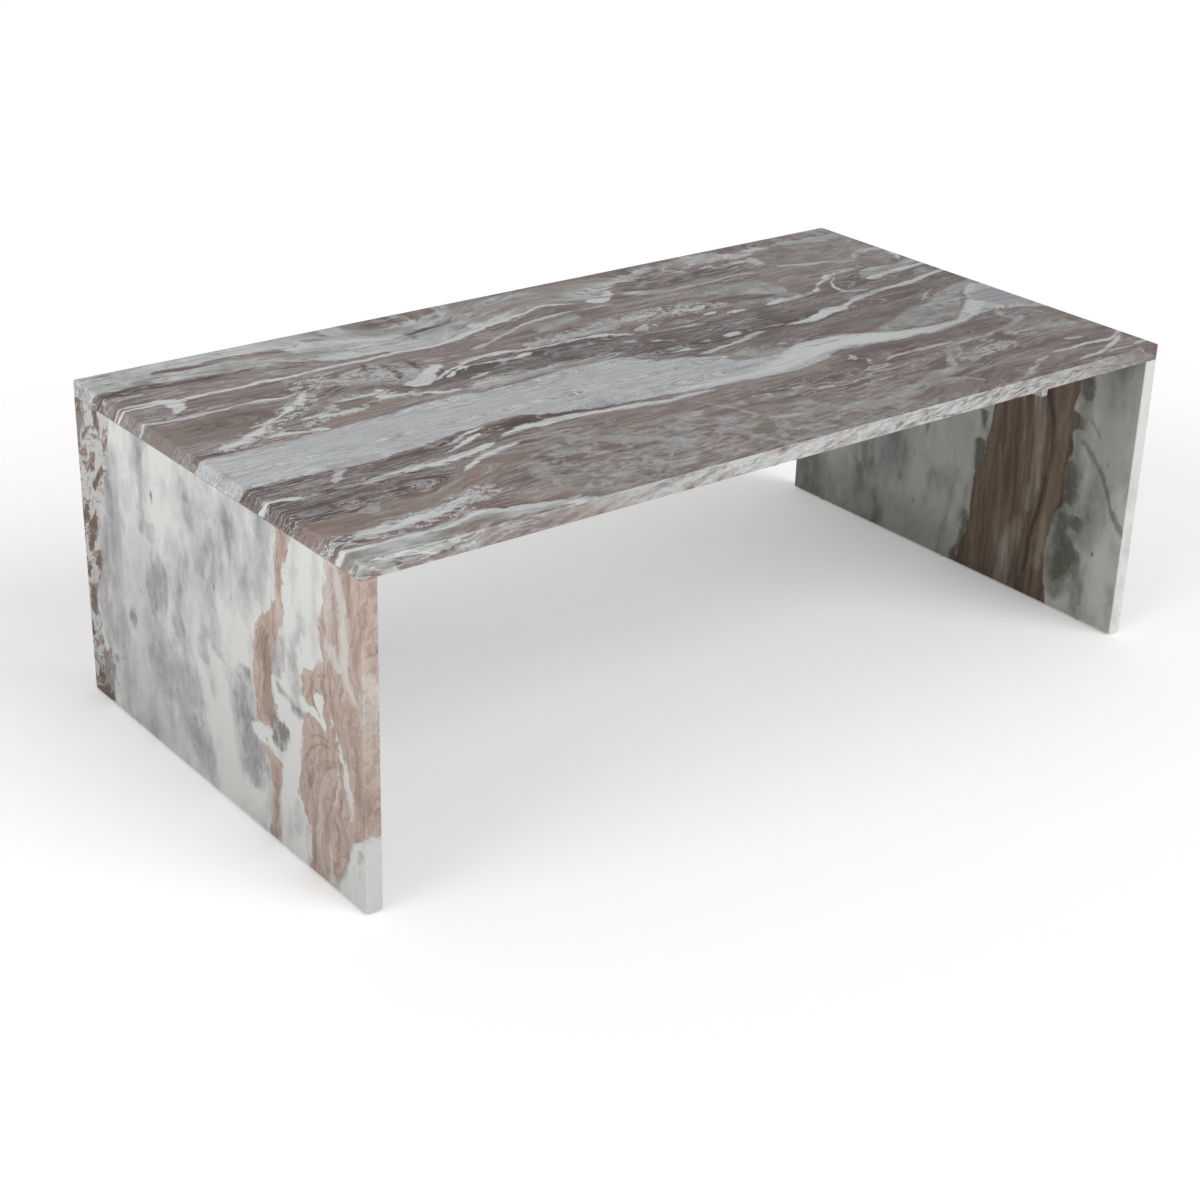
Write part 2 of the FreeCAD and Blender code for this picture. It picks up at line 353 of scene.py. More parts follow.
def draw_streaks(tree, places, span, pattern, paints, ground, streaks):
    """Colour of a sheet of ground with its streaks on it, their rims frayed by a pattern."""
    fray = add_node(
        tree, "ShaderNodeMath", {0: pattern, 1: 2.0, 2: -1.0}, operation="MULTIPLY_ADD"
    ).outputs[0]
    drawing = SimpleNamespace(
        tree=tree, span=span, places=places, fray=fray, paints=paints, colour=paints[ground]
    )
    for streak in streaks:
        lay_streak(drawing, streak)
    return drawing.colour


def arris_distance(tree, place, low, high):
    """Millimetres from the nearest edge of a block, anywhere on its faces."""
    middle, half = (low + high) / 2 / MM, (high - low) / 2 / MM
    offset = add_node(
        tree, "ShaderNodeVectorMath", {0: place, 1: middle}, operation="SUBTRACT"
    ).outputs[0]
    reach = add_node(tree, "ShaderNodeVectorMath", {0: offset}, operation="ABSOLUTE").outputs[0]
    depth = add_node(
        tree, "ShaderNodeVectorMath", {0: half, 1: reach}, operation="SUBTRACT"
    ).outputs[0]
    x, y, z = add_node(tree, "ShaderNodeSeparateXYZ", {0: depth}).outputs
    lesser = add_node(tree, "ShaderNodeMath", {0: x, 1: y}, operation="MINIMUM").outputs[0]
    greater = add_node(tree, "ShaderNodeMath", {0: x, 1: y}, operation="MAXIMUM").outputs[0]
    capped = add_node(tree, "ShaderNodeMath", {0: greater, 1: z}, operation="MINIMUM").outputs[0]
    return add_node(tree, "ShaderNodeMath", {0: lesser, 1: capped}, operation="MAXIMUM").outputs[0]


# A block's front face fades into its body between these depths behind it, in millimetres
FACE_DEPTH = 0.3
BODY_DEPTH = 1.5


def front_face(tree, y, low):
    """One on a block's cut front face, nothing behind it."""
    front = low.y / MM
    return add_node(
        tree, "ShaderNodeMapRange", {0: y, 1: front + BODY_DEPTH, 2: front + FACE_DEPTH}
    ).outputs[0]


def grade_tone_and_painted_shade(tree, colour, place, ends, factors):
    """Colour scaled evenly from the first factor to the second between two ends: the grain's tone, and
    painted shade across a slab.
    """
    factor = add_node(
        tree, "ShaderNodeMapRange",
        {0: place, 1: ends[0], 2: ends[1], 3: factors[0], 4: factors[1]},
    ).outputs[0]
    return add_node(
        tree, "ShaderNodeVectorMath", {0: colour, "Scale": factor}, operation="SCALE"
    ).outputs[0]


def finish_surface(tree, colour, roughness, relief, strength, depth, **shader):
    """Shader of a material, with its relief as deep as given in millimetres."""
    bump = add_node(
        tree, "ShaderNodeBump", {"Height": relief, "Strength": strength, "Distance": depth * MM}
    ).outputs[0]
    values = {name.replace("_", " "): value for name, value in shader.items()}
    surface = add_node(
        tree, "ShaderNodeBsdfPrincipled",
        {"Base Color": colour, "Roughness": roughness, "Normal": bump, **values},
    ).outputs[0]
    add_node(tree, "ShaderNodeOutputMaterial", {0: surface})


# Grain of the stone and patches dulled by handling, in millimetres
GRAIN_SIZE = (2.6, 2.6, 2.6)
HANDLING_SIZE = (140, 90, 90)
# Worn arrises end between these distances from the edge, made ragged by the grain, in millimetres
WEAR_NEAR = 0.8
WEAR_FAR = 2.6
WEAR_RAGGED = 2.0
# Share of the worn colour at the edge, and the dullness that wear adds
WEAR_PALE = 0.18
WEAR_DULL = 0.3
# The grain's darkest and lightest shade, and the roughness of the best and the dullest patch
GRAIN_SHADES = (0.95, 1.05)
SHEEN = (0.24, 0.36)


def hone(tree, place, colour, box, wear_colour):
    """Soft sheen of honed marble: fine grain and pores, and arrises worn pale and dull."""
    grain = soft_noise(tree, place, GRAIN_SIZE, detail=2, roughness=0.6, contrast=0.7)
    handling = soft_noise(
        tree, place, HANDLING_SIZE, detail=3, roughness=0.55, contrast=0.5, seed=4.4
    )
    edge = arris_distance(tree, place, *box)
    ragged = add_node(
        tree, "ShaderNodeMath", {0: grain, 1: WEAR_RAGGED, 2: edge}, operation="MULTIPLY_ADD"
    ).outputs[0]
    wear = add_node(
        tree, "ShaderNodeMapRange", {0: ragged, 1: WEAR_NEAR, 2: WEAR_FAR, 3: WEAR_PALE, 4: 0.0}
    ).outputs[0]
    worn = add_node(
        tree, "ShaderNodeMix", {0: wear, 6: colour, 7: wear_colour}, data_type="RGBA"
    ).outputs[2]
    grained = grade_tone_and_painted_shade(tree, worn, grain, (0.0, 1.0), GRAIN_SHADES)
    best, dullest = SHEEN
    sheen = add_node(tree, "ShaderNodeMapRange", {0: handling, 3: best, 4: dullest}).outputs[0]
    gloss = add_node(
        tree, "ShaderNodeMath", {0: wear, 1: WEAR_DULL, 2: sheen}, operation="MULTIPLY_ADD"
    ).outputs[0]
    finish_surface(
        tree, grained, gloss, grain, strength=0.25, depth=0.03, IOR=1.5, Specular_IOR_Level=0.35
    )


# Flow of the top's layers: for each level y, how far they rise or sink along x, in millimetres
TOP_FLOW = (
    (320, ((-600, 0), (600, 0))),
    (210, ((-600, 40), (-500, 35), (-350, 12), (-250, -13), (-170, -27), (-110, -10), (0, 25),
           (50, 30), (150, 5), (250, -10), (400, 5), (450, -20), (510, -42), (600, -15))),
    (80, ((-600, -30), (-500, -20), (-450, 0), (-400, 25), (-330, 0), (-260, -10), (-200, 25),
          (-100, 20), (0, 15), (100, -20), (200, -25), (300, -15), (400, 10), (600, 35))),
    (10, ((-600, -12), (-400, -10), (-200, 5), (-50, 10), (50, -20), (150, -30), (300, -15),
          (400, 12), (500, 28), (600, 48))),
    (-100, ((-600, 5), (-480, 3), (-330, 25), (-250, 32), (-150, 2), (0, -15), (100, -32),
            (240, -5), (400, -20), (500, 0), (600, 40))),
    (-185, ((-600, -20), (-450, -20), (-380, 10), (-300, 30), (-200, 22), (0, 0), (200, -5),
            (300, 0), (400, 20), (500, 30), (600, 20))),
    (-270, ((-600, -10), (-500, -20), (-430, -5), (-350, -12), (-200, -8), (-100, -5), (0, 5),
            (150, -5), (250, 5), (350, 40), (450, 45), (600, 15))),
)

# Streaks of the top, from the ground up: points (x, y, half width), or (y, x, half width) where rising
TOP_STREAKS = (
    # Soft tints of the ground
    Streak("olive", ((-660, 92, 28), (-520, 95, 28), (-450, 100, 5), (-430, 100, 0)), 14, 10),
    Streak("tan", ((-660, -232, 32), (-500, -230, 28), (-420, -215, 22), (-360, -190, 18),
                   (-300, -185, 5), (-280, -180, 0)), 14, 12, 0.7),
    Streak("tan", ((-400, -262, 0), (-350, -272, 20), (-310, -280, 14), (-280, -270, 0)), 12, 12, 0.7),
    Streak("sage", ((-340, -250, 0), (-300, -240, 60), (-200, -235, 80), (-100, -245, 75), (0, -268, 50),
                    (60, -276, 42), (150, -278, 36), (250, -278, 32), (330, -276, 0)), 25, 20, 0.75),
    Streak("mauve", ((20, 20, 0), (60, 10, 50), (150, 5, 70), (300, 5, 80), (450, 40, 80), (660, 60, 80)),
           15, 8),
    Streak("mauve", ((130, 240, 0), (180, 242, 24), (230, 245, 28), (270, 245, 26), (330, 232, 20),
                     (380, 228, 14), (410, 225, 0)), 5, 6),
    Streak("sage", ((360, 210, 0), (420, 220, 40), (500, 215, 60), (660, 215, 60)), 30, 20, 0.5),
    Streak("mauve", ((200, -140, 0), (240, -132, 22), (300, -136, 22), (400, -142, 22), (500, -128, 25),
                     (520, -125, 0)), 6, 6),
    Streak("umber", ((-20, -150, 0), (40, -165, 8), (120, -168, 14), (220, -165, 14), (300, -172, 10),
                     (400, -176, 8), (470, -178, 0)), 6, 8, 0.8),
    # Dark bands
    Streak("umber", ((-660, 244, 8), (-560, 240, 12), (-545, 246, 12), (-500, 238, 8), (-430, 237, 8),
                     (-395, 238, 4), (-380, 236, 0)), 4, 6),
    Streak("umber", ((-345, 72, 0), (-320, 70, 10), (-250, 72, 14), (-200, 82, 26), (-150, 78, 32),
                     (-100, 76, 34), (-50, 72, 34), (0, 62, 40), (50, 42, 45), (100, 28, 42),
                     (150, 32, 35), (200, 35, 35), (250, 30, 35), (300, 25, 25), (350, 0, 5),
                     (370, 0, 0)), 5, 10),
    rising("soot", ((0, 260, 0), (15, 256, 6), (40, 255, 14), (65, 262, 16), (90, 275, 8), (105, 282, 0)),
           12, 8, 0.5),
    Streak("soot", ((195, 132, 0), (240, 128, 6), (280, 119, 7), (320, 108, 4), (335, 104, 0)),
           6, 6, 0.45),
    Streak("plum", ((-660, -150, 58), (-560, -150, 55), (-500, -148, 52), (-450, -150, 52),
                    (-420, -142, 45), (-380, -130, 34), (-330, -112, 26), (-280, -100, 22),
                    (-230, -92, 16), (-190, -92, 10), (-150, -100, 6), (-100, -108, 4), (-30, -112, 2),
                    (0, -114, 0)), 4, 9),
    # Pale zone along the back
    Streak("ash", ((-660, 290, 40), (-540, 290, 32), (-500, 290, 45), (-400, 290, 55), (-350, 285, 63),
                   (-300, 268, 65), (-250, 258, 62), (-215, 236, 48), (-170, 229, 46), (-130, 240, 50),
                   (-60, 255, 40), (0, 268, 33), (60, 264, 26), (100, 257, 28), (150, 266, 16),
                   (200, 277, 8), (260, 291, 9), (300, 291, 0)), 3, 8),
    Streak("taupe", ((-520, 279, 0), (-510, 279, 6), (-470, 278, 7), (-420, 279, 6), (-390, 277, 7),
                     (-350, 271, 6), (-325, 267, 0)), 3, 4),
    Streak("taupe", ((-348, 228, 0), (-335, 228, 2), (-318, 230, 2), (-308, 231, 0)), 2, 3),
    Streak("tan", ((-30, 278, 0), (20, 282, 6), (80, 281, 8), (140, 278, 5), (170, 275, 0)), 4, 5, 0.6),
    Streak("tan", ((-110, 245, 0), (-70, 240, 8), (-20, 252, 8), (30, 258, 7), (80, 245, 4),
                   (100, 240, 0)), 4, 5, 0.6),
    Streak("umber", ((-195, 230, 0), (-170, 240, 5), (-130, 246, 4), (-100, 262, 3), (-95, 268, 0)),
           2, 4),
    rising("umber", ((212, -178, 0), (222, -180, 5), (238, -182, 5), (250, -180, 0)), 4, 4, 0.7),
    Streak("frost", ((-160, 186, 3), (-120, 195, 4), (-90, 208, 4), (-50, 220, 3), (0, 232, 3),
                     (30, 238, 3), (60, 230, 2.5), (90, 222, 0)), 2, 3),
    Streak("frost", ((-108, 215, 0), (-95, 222, 9), (-82, 222, 7), (-72, 218, 0)), 4, 4),
    Streak("frost", ((78, 222, 0), (95, 220, 9), (115, 222, 11), (130, 232, 8), (140, 246, 5),
                     (152, 258, 0)), 3, 4),
    Streak("ash", ((138, 226, 0), (160, 216, 8), (190, 206, 8), (215, 199, 5), (235, 198, 0)), 3, 5),
    Streak("frost", ((205, 197, 0), (235, 199, 3), (280, 202, 2), (330, 206, 2), (360, 202, 1.5),
                     (410, 196, 0)), 2, 3, 0.7),
    Streak("frost", ((-170, 147, 0), (-140, 150, 1.5), (-100, 160, 2), (-70, 176, 2), (-45, 186, 2.5),
                     (-20, 193, 2.5), (10, 199, 3), (50, 200, 2), (100, 198, 1.5), (150, 195, 0)),
           2, 3, 0.8),
    Streak("sage_pale", ((-50, 168, 0), (-20, 165, 13), (20, 175, 13), (45, 182, 8), (60, 185, 0)),
           5, 10, 0.8),
    # Lace of small veins
    Streak("lace", ((-610, 8, 0), (-560, 20, 10), (-510, 44, 16), (-470, 66, 18), (-430, 92, 20),
                    (-400, 120, 20), (-380, 140, 12), (-365, 150, 0)), 3, 16, 0.9),
    Streak("lace", ((-480, 30, 0), (-430, 40, 14), (-380, 60, 22), (-330, 66, 20), (-290, 60, 14),
                    (-255, 55, 0)), 3, 16, 0.85),
    Streak("lace", ((-110, 118, 0), (-60, 122, 14), (0, 126, 18), (60, 130, 22), (120, 134, 20),
                    (180, 128, 18), (230, 120, 10), (265, 116, 0)), 3, 16, 0.85),
    Streak("lace", ((-660, -262, 8), (-540, -262, 16), (-480, -258, 20), (-420, -245, 18),
                    (-380, -232, 10), (-350, -225, 0)), 3, 14, 0.85),
    Streak("lace", ((300, -212, 0), (340, -212, 12), (390, -211, 14), (440, -206, 10), (475, -203, 0)),
           3, 14, 0.8),
    # Brown layers at the left, with their veins
    Streak("frost", ((-660, 197, 1.5), (-580, 196, 2), (-555, 196, 5), (-540, 190, 8), (-528, 182, 4),
                     (-520, 178, 0)), 2, 2),
    rising("frost", ((146, -556, 0), (154, -548, 6), (164, -544, 8), (176, -542, 11), (188, -540, 12),
                     (196, -548, 9), (202, -556, 0)), 2, 3),
    Streak("frost", ((-660, 140, 3), (-600, 137, 3), (-550, 131, 2.5), (-500, 132, 2), (-450, 131, 2.5),
                     (-415, 130, 3), (-400, 138, 3), (-388, 150, 0)), 2.5, 3),
    Streak("sage_pale", ((-415, 150, 0), (-400, 150, 25), (-370, 148, 32), (-330, 145, 34),
                         (-290, 135, 38), (-250, 130, 30), (-235, 120, 10), (-225, 118, 0)), 4, 12),
    Streak("lace", ((-420, 150, 0), (-395, 150, 20), (-330, 145, 28), (-265, 130, 24), (-230, 118, 0)),
           4, 16, 0.7),
    rising("umber", ((98, -280, 0), (115, -273, 5), (150, -268, 6), (172, -272, 0)), 3, 4),
    rising("umber", ((108, -247, 0), (130, -240, 4), (155, -236, 3), (168, -235, 0)), 3, 4),
    rising("umber", ((135, -300, 0), (150, -296, 3), (172, -290, 4), (182, -286, 0)), 3, 4),
    Streak("frost", ((-294, 88, 0), (-278, 84, 9), (-262, 84, 13), (-245, 96, 15), (-230, 112, 11),
                     (-215, 122, 4), (-203, 126, 0)), 3, 5),
    Streak("umber", ((-400, 112, 0), (-375, 112, 13), (-355, 114, 11), (-338, 110, 0)), 4, 6),
    Streak("olive", ((-405, 62, 0), (-375, 66, 11), (-345, 70, 9), (-325, 72, 0)), 3, 5),
    Streak("frost", ((-605, 10, 0), (-560, 22, 4), (-530, 35, 5), (-510, 46, 7), (-480, 68, 4),
                     (-450, 84, 5), (-430, 96, 7), (-410, 112, 6), (-395, 128, 6), (-385, 142, 0)), 3, 7),
    Streak("frost", ((-525, 20, 0), (-500, 27, 5), (-480, 28, 7), (-460, 24, 6), (-440, 16, 4),
                     (-420, 10, 0)), 3, 5),
    Streak("umber", ((-495, 32, 0), (-472, 30, 3.5), (-456, 25, 3), (-442, 21, 0)), 2, 3),
    Streak("tan", ((-455, 22, 0), (-425, 26, 9), (-390, 28, 11), (-360, 31, 11), (-335, 42, 7),
                   (-310, 48, 4), (-295, 50, 0)), 5, 7),
    Streak("frost", ((-490, 50, 0), (-440, 52, 2.5), (-400, 46, 3.5), (-370, 46, 3), (-355, 43, 0)),
           2, 4),
    Streak("frost", ((-410, 84, 0), (-380, 82, 2), (-350, 80, 4), (-325, 83, 4), (-312, 90, 0)), 2, 4),
    Streak("frost", ((-345, 70, 0), (-325, 66, 5), (-300, 60, 4), (-275, 45, 4), (-250, 38, 5),
                     (-225, 38, 0)), 2, 5),
    Streak("ash", ((-250, 34, 0), (-215, 34, 9), (-180, 36, 11), (-150, 40, 10), (-120, 37, 7),
                   (-90, 41, 7), (-60, 40, 6), (-30, 42, 7), (0, 36, 5), (18, 30, 0)), 3, 14),
    Streak("frost", ((-262, 70, 0), (-240, 82, 2.5), (-215, 98, 3), (-190, 110, 3.5), (-160, 118, 4),
                     (-130, 118, 5), (-100, 112, 4), (-60, 107, 3), (0, 104, 2.5), (30, 100, 3),
                     (50, 88, 3), (70, 80, 0)), 2, 4),
    Streak("frost", ((-255, 66, 0), (-225, 82, 2.5), (-200, 96, 3), (-180, 100, 2), (-150, 96, 2),
                     (-120, 92, 3), (-97, 96, 4), (-82, 96, 0)), 2, 4),
    Streak("frost", ((-215, 56, 0), (-198, 62, 3), (-180, 68, 3), (-165, 70, 0)), 2, 4, 0.8),
    # Wisps and blots over the middle
    Streak("ash", ((-85, 112, 0), (-40, 118, 5), (0, 118, 6), (40, 122, 9), (60, 125, 11), (100, 130, 9),
                   (130, 135, 6), (155, 138, 0)), 3, 16),
    Streak("frost", ((48, 86, 0), (75, 94, 4), (100, 98, 6), (120, 100, 4), (140, 98, 0)), 3, 11),
    Streak("frost", ((80, 84, 0), (110, 76, 2), (130, 72, 3), (150, 68, 2), (190, 66, 0)), 2, 8),
    Streak("frost", ((140, 120, 0), (165, 120, 5), (190, 118, 5), (205, 122, 3), (222, 132, 0)), 2, 10),
    Streak("umber", ((158, 122, 0), (170, 122, 2.5), (182, 121, 0)), 2, 2),
    Streak("frost", ((155, 72, 0), (180, 90, 2), (200, 95, 3), (222, 98, 0)), 2, 8),
    Streak("frost", ((180, 78, 0), (215, 84, 2.5), (235, 85, 3), (252, 84, 0)), 2, 9),
    Streak("frost", ((10, 66, 0), (38, 64, 3), (62, 58, 0)), 3, 10, 0.8),
    Streak("frost", ((46, 54, 0), (70, 48, 3), (85, 40, 3), (106, 33, 0)), 2.5, 9, 0.8),
    Streak("frost", ((34, 5, 0), (65, 4, 3), (80, 0, 3), (108, -6, 0)), 2, 8, 0.9),
    Streak("frost", ((58, -17, 0), (90, -22, 3), (120, -18, 3), (150, -12, 3), (180, -4, 4), (205, 0, 3),
                     (218, 0, 0)), 2, 3, 0.85),
    Streak("frost", ((136, 11, 0), (168, 14, 3), (200, 12, 0)), 3, 9, 0.8),
    Streak("sage_pale", ((232, 155, 0), (255, 162, 11), (280, 158, 21), (310, 150, 27), (330, 140, 31),
                         (345, 135, 24), (354, 130, 0)), 4, 5),
    Streak("ash", ((353, 152, 0), (370, 152, 7), (400, 152, 6), (425, 155, 0)), 4, 6, 0.7),
    Streak("frost", ((262, 88, 0), (300, 82, 4), (330, 84, 5), (360, 88, 4), (385, 96, 3.5),
                     (405, 110, 4), (420, 122, 4), (445, 135, 4.5), (480, 138, 4), (515, 134, 0)),
           2.5, 5),
    rising("frost", ((50, 446, 0), (58, 440, 5), (66, 425, 5), (76, 408, 4), (90, 412, 3),
                     (105, 425, 2.5), (120, 440, 2), (132, 450, 0)), 2, 2),
    Streak("ash", ((462, 98, 0), (480, 100, 9), (500, 110, 17), (530, 113, 14), (560, 112, 11),
                   (580, 118, 10), (600, 122, 13), (660, 130, 13)), 3, 4),
    Streak("frost", ((465, 95, 0), (490, 95, 6), (520, 99, 5), (560, 100, 4), (600, 104, 4),
                     (660, 106, 4)), 3, 3),
    rising("frost", ((125, 582, 0), (150, 590, 4), (170, 598, 4), (195, 604, 0)), 3, 3),
    # Pale veins at the back right
    Streak("ash", ((250, 292, 0), (280, 288, 18), (310, 290, 19), (350, 288, 17), (390, 280, 11),
                   (410, 278, 8), (440, 284, 6), (480, 285, 7), (520, 278, 11), (560, 275, 13),
                   (600, 268, 12), (660, 262, 12)), 4, 9),
    Streak("slate", ((420, 286, 0), (480, 284, 4), (540, 276, 7), (600, 268, 8), (660, 262, 8)),
           4, 5, 0.7),
    Streak("ash", ((295, 250, 0), (330, 252, 6), (370, 250, 5), (400, 246, 7), (425, 240, 0)), 3, 6),
    rising("ash", ((212, 404, 0), (225, 398, 6), (240, 398, 8), (255, 402, 6), (266, 405, 0)), 3, 5),
    rising("ash", ((222, 292, 0), (245, 285, 3), (262, 276, 6), (280, 270, 9), (295, 268, 0)), 3, 5),
    Streak("ash", ((390, 224, 0), (420, 208, 5), (450, 192, 6), (480, 182, 7), (505, 172, 6),
                   (520, 172, 5), (540, 185, 5), (560, 200, 7), (580, 198, 8), (600, 188, 7),
                   (660, 180, 5)), 3, 7),
    # Pale river
    Streak("river", ((-660, -44, 51), (-500, -43, 48), (-480, -46, 51), (-400, -40, 52), (-350, -33, 49),
                     (-300, -27, 47), (-250, -23, 45), (-200, -35, 50), (-150, -39, 59), (-100, -40, 65),
                     (-50, -42, 70), (0, -53, 65), (15, -64, 56), (60, -76, 51), (100, -88, 44),
                     (150, -103, 28), (200, -92, 27), (240, -83, 21), (280, -86, 22), (310, -94, 19),
                     (350, -104, 14), (400, -110, 10), (440, -108, 7), (480, -94, 10), (510, -82, 18),
                     (530, -72, 28), (560, -60, 45), (600, -69, 61), (660, -75, 65)), 2, 5),
    Streak("sage_pale", ((86, -48, 0), (115, -52, 9), (140, -55, 17), (170, -65, 13), (190, -72, 4),
                         (204, -76, 0)), 4, 6, 0.8),
    Streak("tan", ((88, -52, 0), (105, -56, 7), (125, -64, 6), (143, -71, 0)), 3, 4, 0.8),
    Streak("sage_pale", ((325, -76, 0), (350, -78, 7), (380, -72, 17), (410, -68, 27), (440, -62, 29),
                         (470, -58, 29), (500, -40, 27), (530, -18, 17), (560, 0, 11), (600, 8, 6),
                         (660, 10, 4)), 4, 6),
    Streak("tan", ((355, -74, 0), (385, -68, 6), (400, -64, 6), (425, -57, 0)), 4, 5, 0.5),
    Streak("frost", ((-70, -105, 0), (0, -108, 7), (60, -116, 9), (100, -118, 11), (150, -104, 17),
                     (200, -88, 21), (250, -80, 17), (300, -90, 15), (350, -104, 11), (400, -111, 8),
                     (450, -108, 7), (490, -90, 9), (530, -62, 13), (560, -25, 9), (580, -8, 5),
                     (612, -4, 0)), 5, 5),
    Streak("slate", ((526, -50, 0), (545, -55, 21), (570, -62, 34), (600, -75, 44), (660, -80, 45)),
           6, 5),
    # Veins in the dark band
    Streak("frost", ((-660, -135, 4), (-580, -138, 5), (-565, -142, 3), (-540, -147, 0)), 2, 5),
    Streak("frost", ((-525, -150, 0), (-480, -146, 3.5), (-430, -138, 5), (-380, -140, 7),
                     (-340, -136, 6), (-310, -128, 5), (-285, -120, 0)), 2, 5),
    Streak("frost", ((-315, -124, 0), (-280, -112, 4), (-240, -106, 6), (-200, -106, 6), (-160, -112, 5),
                     (-100, -120, 5), (-50, -126, 4), (0, -128, 4), (35, -130, 0)), 2, 5),
    Streak("umber", ((-310, -125, 0), (-290, -124, 4), (-250, -120, 4), (-208, -115, 0)), 2, 3),
    rising("frost", ((-132, -514, 0), (-118, -505, 7), (-105, -497, 6), (-95, -490, 4), (-88, -484, 0)),
           2, 5, 0.7),
    Streak("frost", ((-375, -107, 0), (-340, -98, 2), (-310, -84, 3), (-290, -80, 2), (-255, -75, 0)),
           1.5, 3),
    Streak("frost", ((-395, -127, 0), (-350, -115, 2.5), (-310, -98, 3), (-285, -90, 0)), 1.5, 3),
    Streak("frost", ((-400, -186, 0), (-370, -172, 2.5), (-340, -155, 4), (-310, -146, 4),
                     (-285, -140, 3), (-270, -138, 0)), 2, 4),
    # Front left corner
    Streak("sage_pale", ((-545, -198, 0), (-520, -210, 8), (-507, -206, 6), (-494, -200, 0)), 3, 5),
    Streak("frost", ((-595, -258, 0), (-560, -255, 3.5), (-520, -258, 6), (-480, -256, 7),
                     (-440, -246, 6), (-410, -232, 4), (-390, -222, 0)), 3, 8),
    Streak("ash", ((-660, -300, 18), (-560, -305, 22), (-500, -306, 20), (-450, -300, 20),
                   (-400, -298, 12), (-350, -304, 8), (-310, -312, 5), (-270, -318, 0)), 3, 6),
    Streak("tan", ((-515, -306, 0), (-480, -300, 6), (-450, -296, 6), (-420, -300, 4), (-395, -311, 0)),
           4, 5, 0.7),
    Streak("frost", ((-660, -284, 3), (-560, -286, 4), (-500, -289, 4), (-460, -284, 6), (-430, -279, 7),
                     (-400, -288, 6), (-360, -298, 5), (-330, -308, 4), (-290, -316, 0)), 2.5, 4),
    # Grey-green front, with its crossing veins
    Streak("vein", ((-252, -138, 0), (-232, -150, 8), (-200, -182, 10), (-170, -200, 10), (-150, -215, 9),
                    (-120, -240, 8), (-100, -252, 6), (-82, -260, 0)), 4, 6, 0.9),
    rising("vein", ((-340, -34, 6), (-300, -36, 6), (-280, -45, 6), (-260, -52, 7), (-245, -62, 8),
                    (-232, -70, 5), (-222, -76, 0)), 3, 5, 0.9),
    rising("vein", ((-235, -4, 0), (-215, -5, 4), (-190, -8, 4), (-165, -20, 3), (-150, -28, 2),
                    (-138, -33, 0)), 3, 3, 0.9),
    Streak("vein", ((-75, -226, 0), (-50, -222, 4), (-20, -230, 3), (20, -240, 3), (60, -250, 5),
                    (100, -262, 8), (140, -270, 10), (170, -275, 8), (200, -262, 6), (240, -248, 6),
                    (280, -238, 7), (310, -230, 7), (330, -212, 8), (345, -195, 8), (370, -178, 7),
                    (400, -168, 7), (430, -166, 5), (470, -162, 4), (500, -157, 5), (525, -148, 6),
                    (535, -140, 3), (548, -134, 0)), 3, 7),
    rising("vein", ((-152, 520, 0), (-140, 522, 5), (-125, 518, 5), (-110, 522, 5), (-98, 530, 6),
                    (-88, 536, 0)), 3, 4),
    Streak("ash", ((325, -212, 0), (350, -212, 6), (380, -212, 8), (410, -208, 6), (440, -206, 3),
                   (465, -204, 0)), 2, 12),
    Streak("sage_pale", ((245, -270, 0), (275, -262, 8), (300, -270, 8), (310, -285, 5), (325, -297, 0)),
           4, 10, 0.8),
    Streak("olive", ((176, -285, 0), (205, -288, 12), (240, -286, 15), (270, -290, 12), (300, -300, 6),
                     (325, -307, 0)), 5, 6),
    Streak("olive", ((-50, -262, 0), (-30, -262, 12), (-15, -260, 12), (2, -256, 0)), 5, 6),
    Streak("vein", ((52, -226, 0), (70, -222, 8), (85, -222, 6), (98, -226, 0)), 4, 6, 0.8),
    Streak("frost", ((105, -200, 0), (120, -198, 4), (140, -196, 4), (155, -198, 0)), 3, 8, 0.6),
    rising("frost", ((-175, 243, 0), (-160, 238, 2), (-150, 246, 2), (-140, 228, 3), (-128, 232, 3),
                     (-118, 237, 0)), 2, 6, 0.8),
    Streak("frost", ((246, -180, 0), (265, -165, 2.5), (280, -158, 3), (320, -160, 2.5), (380, -163, 2),
                     (410, -160, 0)), 2, 4, 0.8),
    Streak("frost", ((330, -322, 0), (370, -302, 2.5), (395, -290, 2.5), (420, -275, 3), (440, -269, 2),
                     (452, -266, 0)), 2, 6, 0.6),
    Streak("frost", ((435, -277, 0), (470, -262, 2.5), (500, -262, 3), (540, -266, 3), (570, -264, 3),
                     (590, -255, 3), (660, -235, 2)), 2, 3),
    Streak("frost", ((440, -314, 0), (480, -300, 2.5), (520, -294, 2.5), (550, -282, 3), (575, -270, 3),
                     (610, -250, 0)), 2, 3),
    Streak("frost", ((495, -306, 0), (540, -300, 3), (600, -296, 4), (660, -294, 4)), 2, 4, 0.8),
    Streak("frost", ((515, -184, 0), (545, -186, 3), (570, -190, 4), (590, -193, 0)), 2, 5, 0.8),
    Streak("frost", ((500, -231, 0), (520, -234, 4), (535, -238, 3), (550, -241, 0)), 2, 5, 0.8),
    rising("vein", ((-165, 582, 0), (-140, 572, 4), (-120, 562, 4), (-106, 552, 0)), 3, 4, 0.9),
    # The long white vein at the right
    Streak("frost", ((230, 9, 0), (260, 5, 3), (285, 2, 6), (305, 4, 8), (325, 14, 9), (345, 18, 9),
                     (365, 18, 6), (385, 28, 5), (410, 36, 6), (440, 42, 6), (470, 46, 4), (510, 50, 4),
                     (550, 56, 4), (600, 68, 4), (660, 74, 4)), 2, 3),
    Streak("frost", ((440, -30, 0), (480, -15, 2), (510, 6, 2), (535, 15, 0)), 2, 3, 0.7),
)

# Side of the square sheet on which the top's streaks are drawn, in millimetres
TOP_SHEET = 1400.0
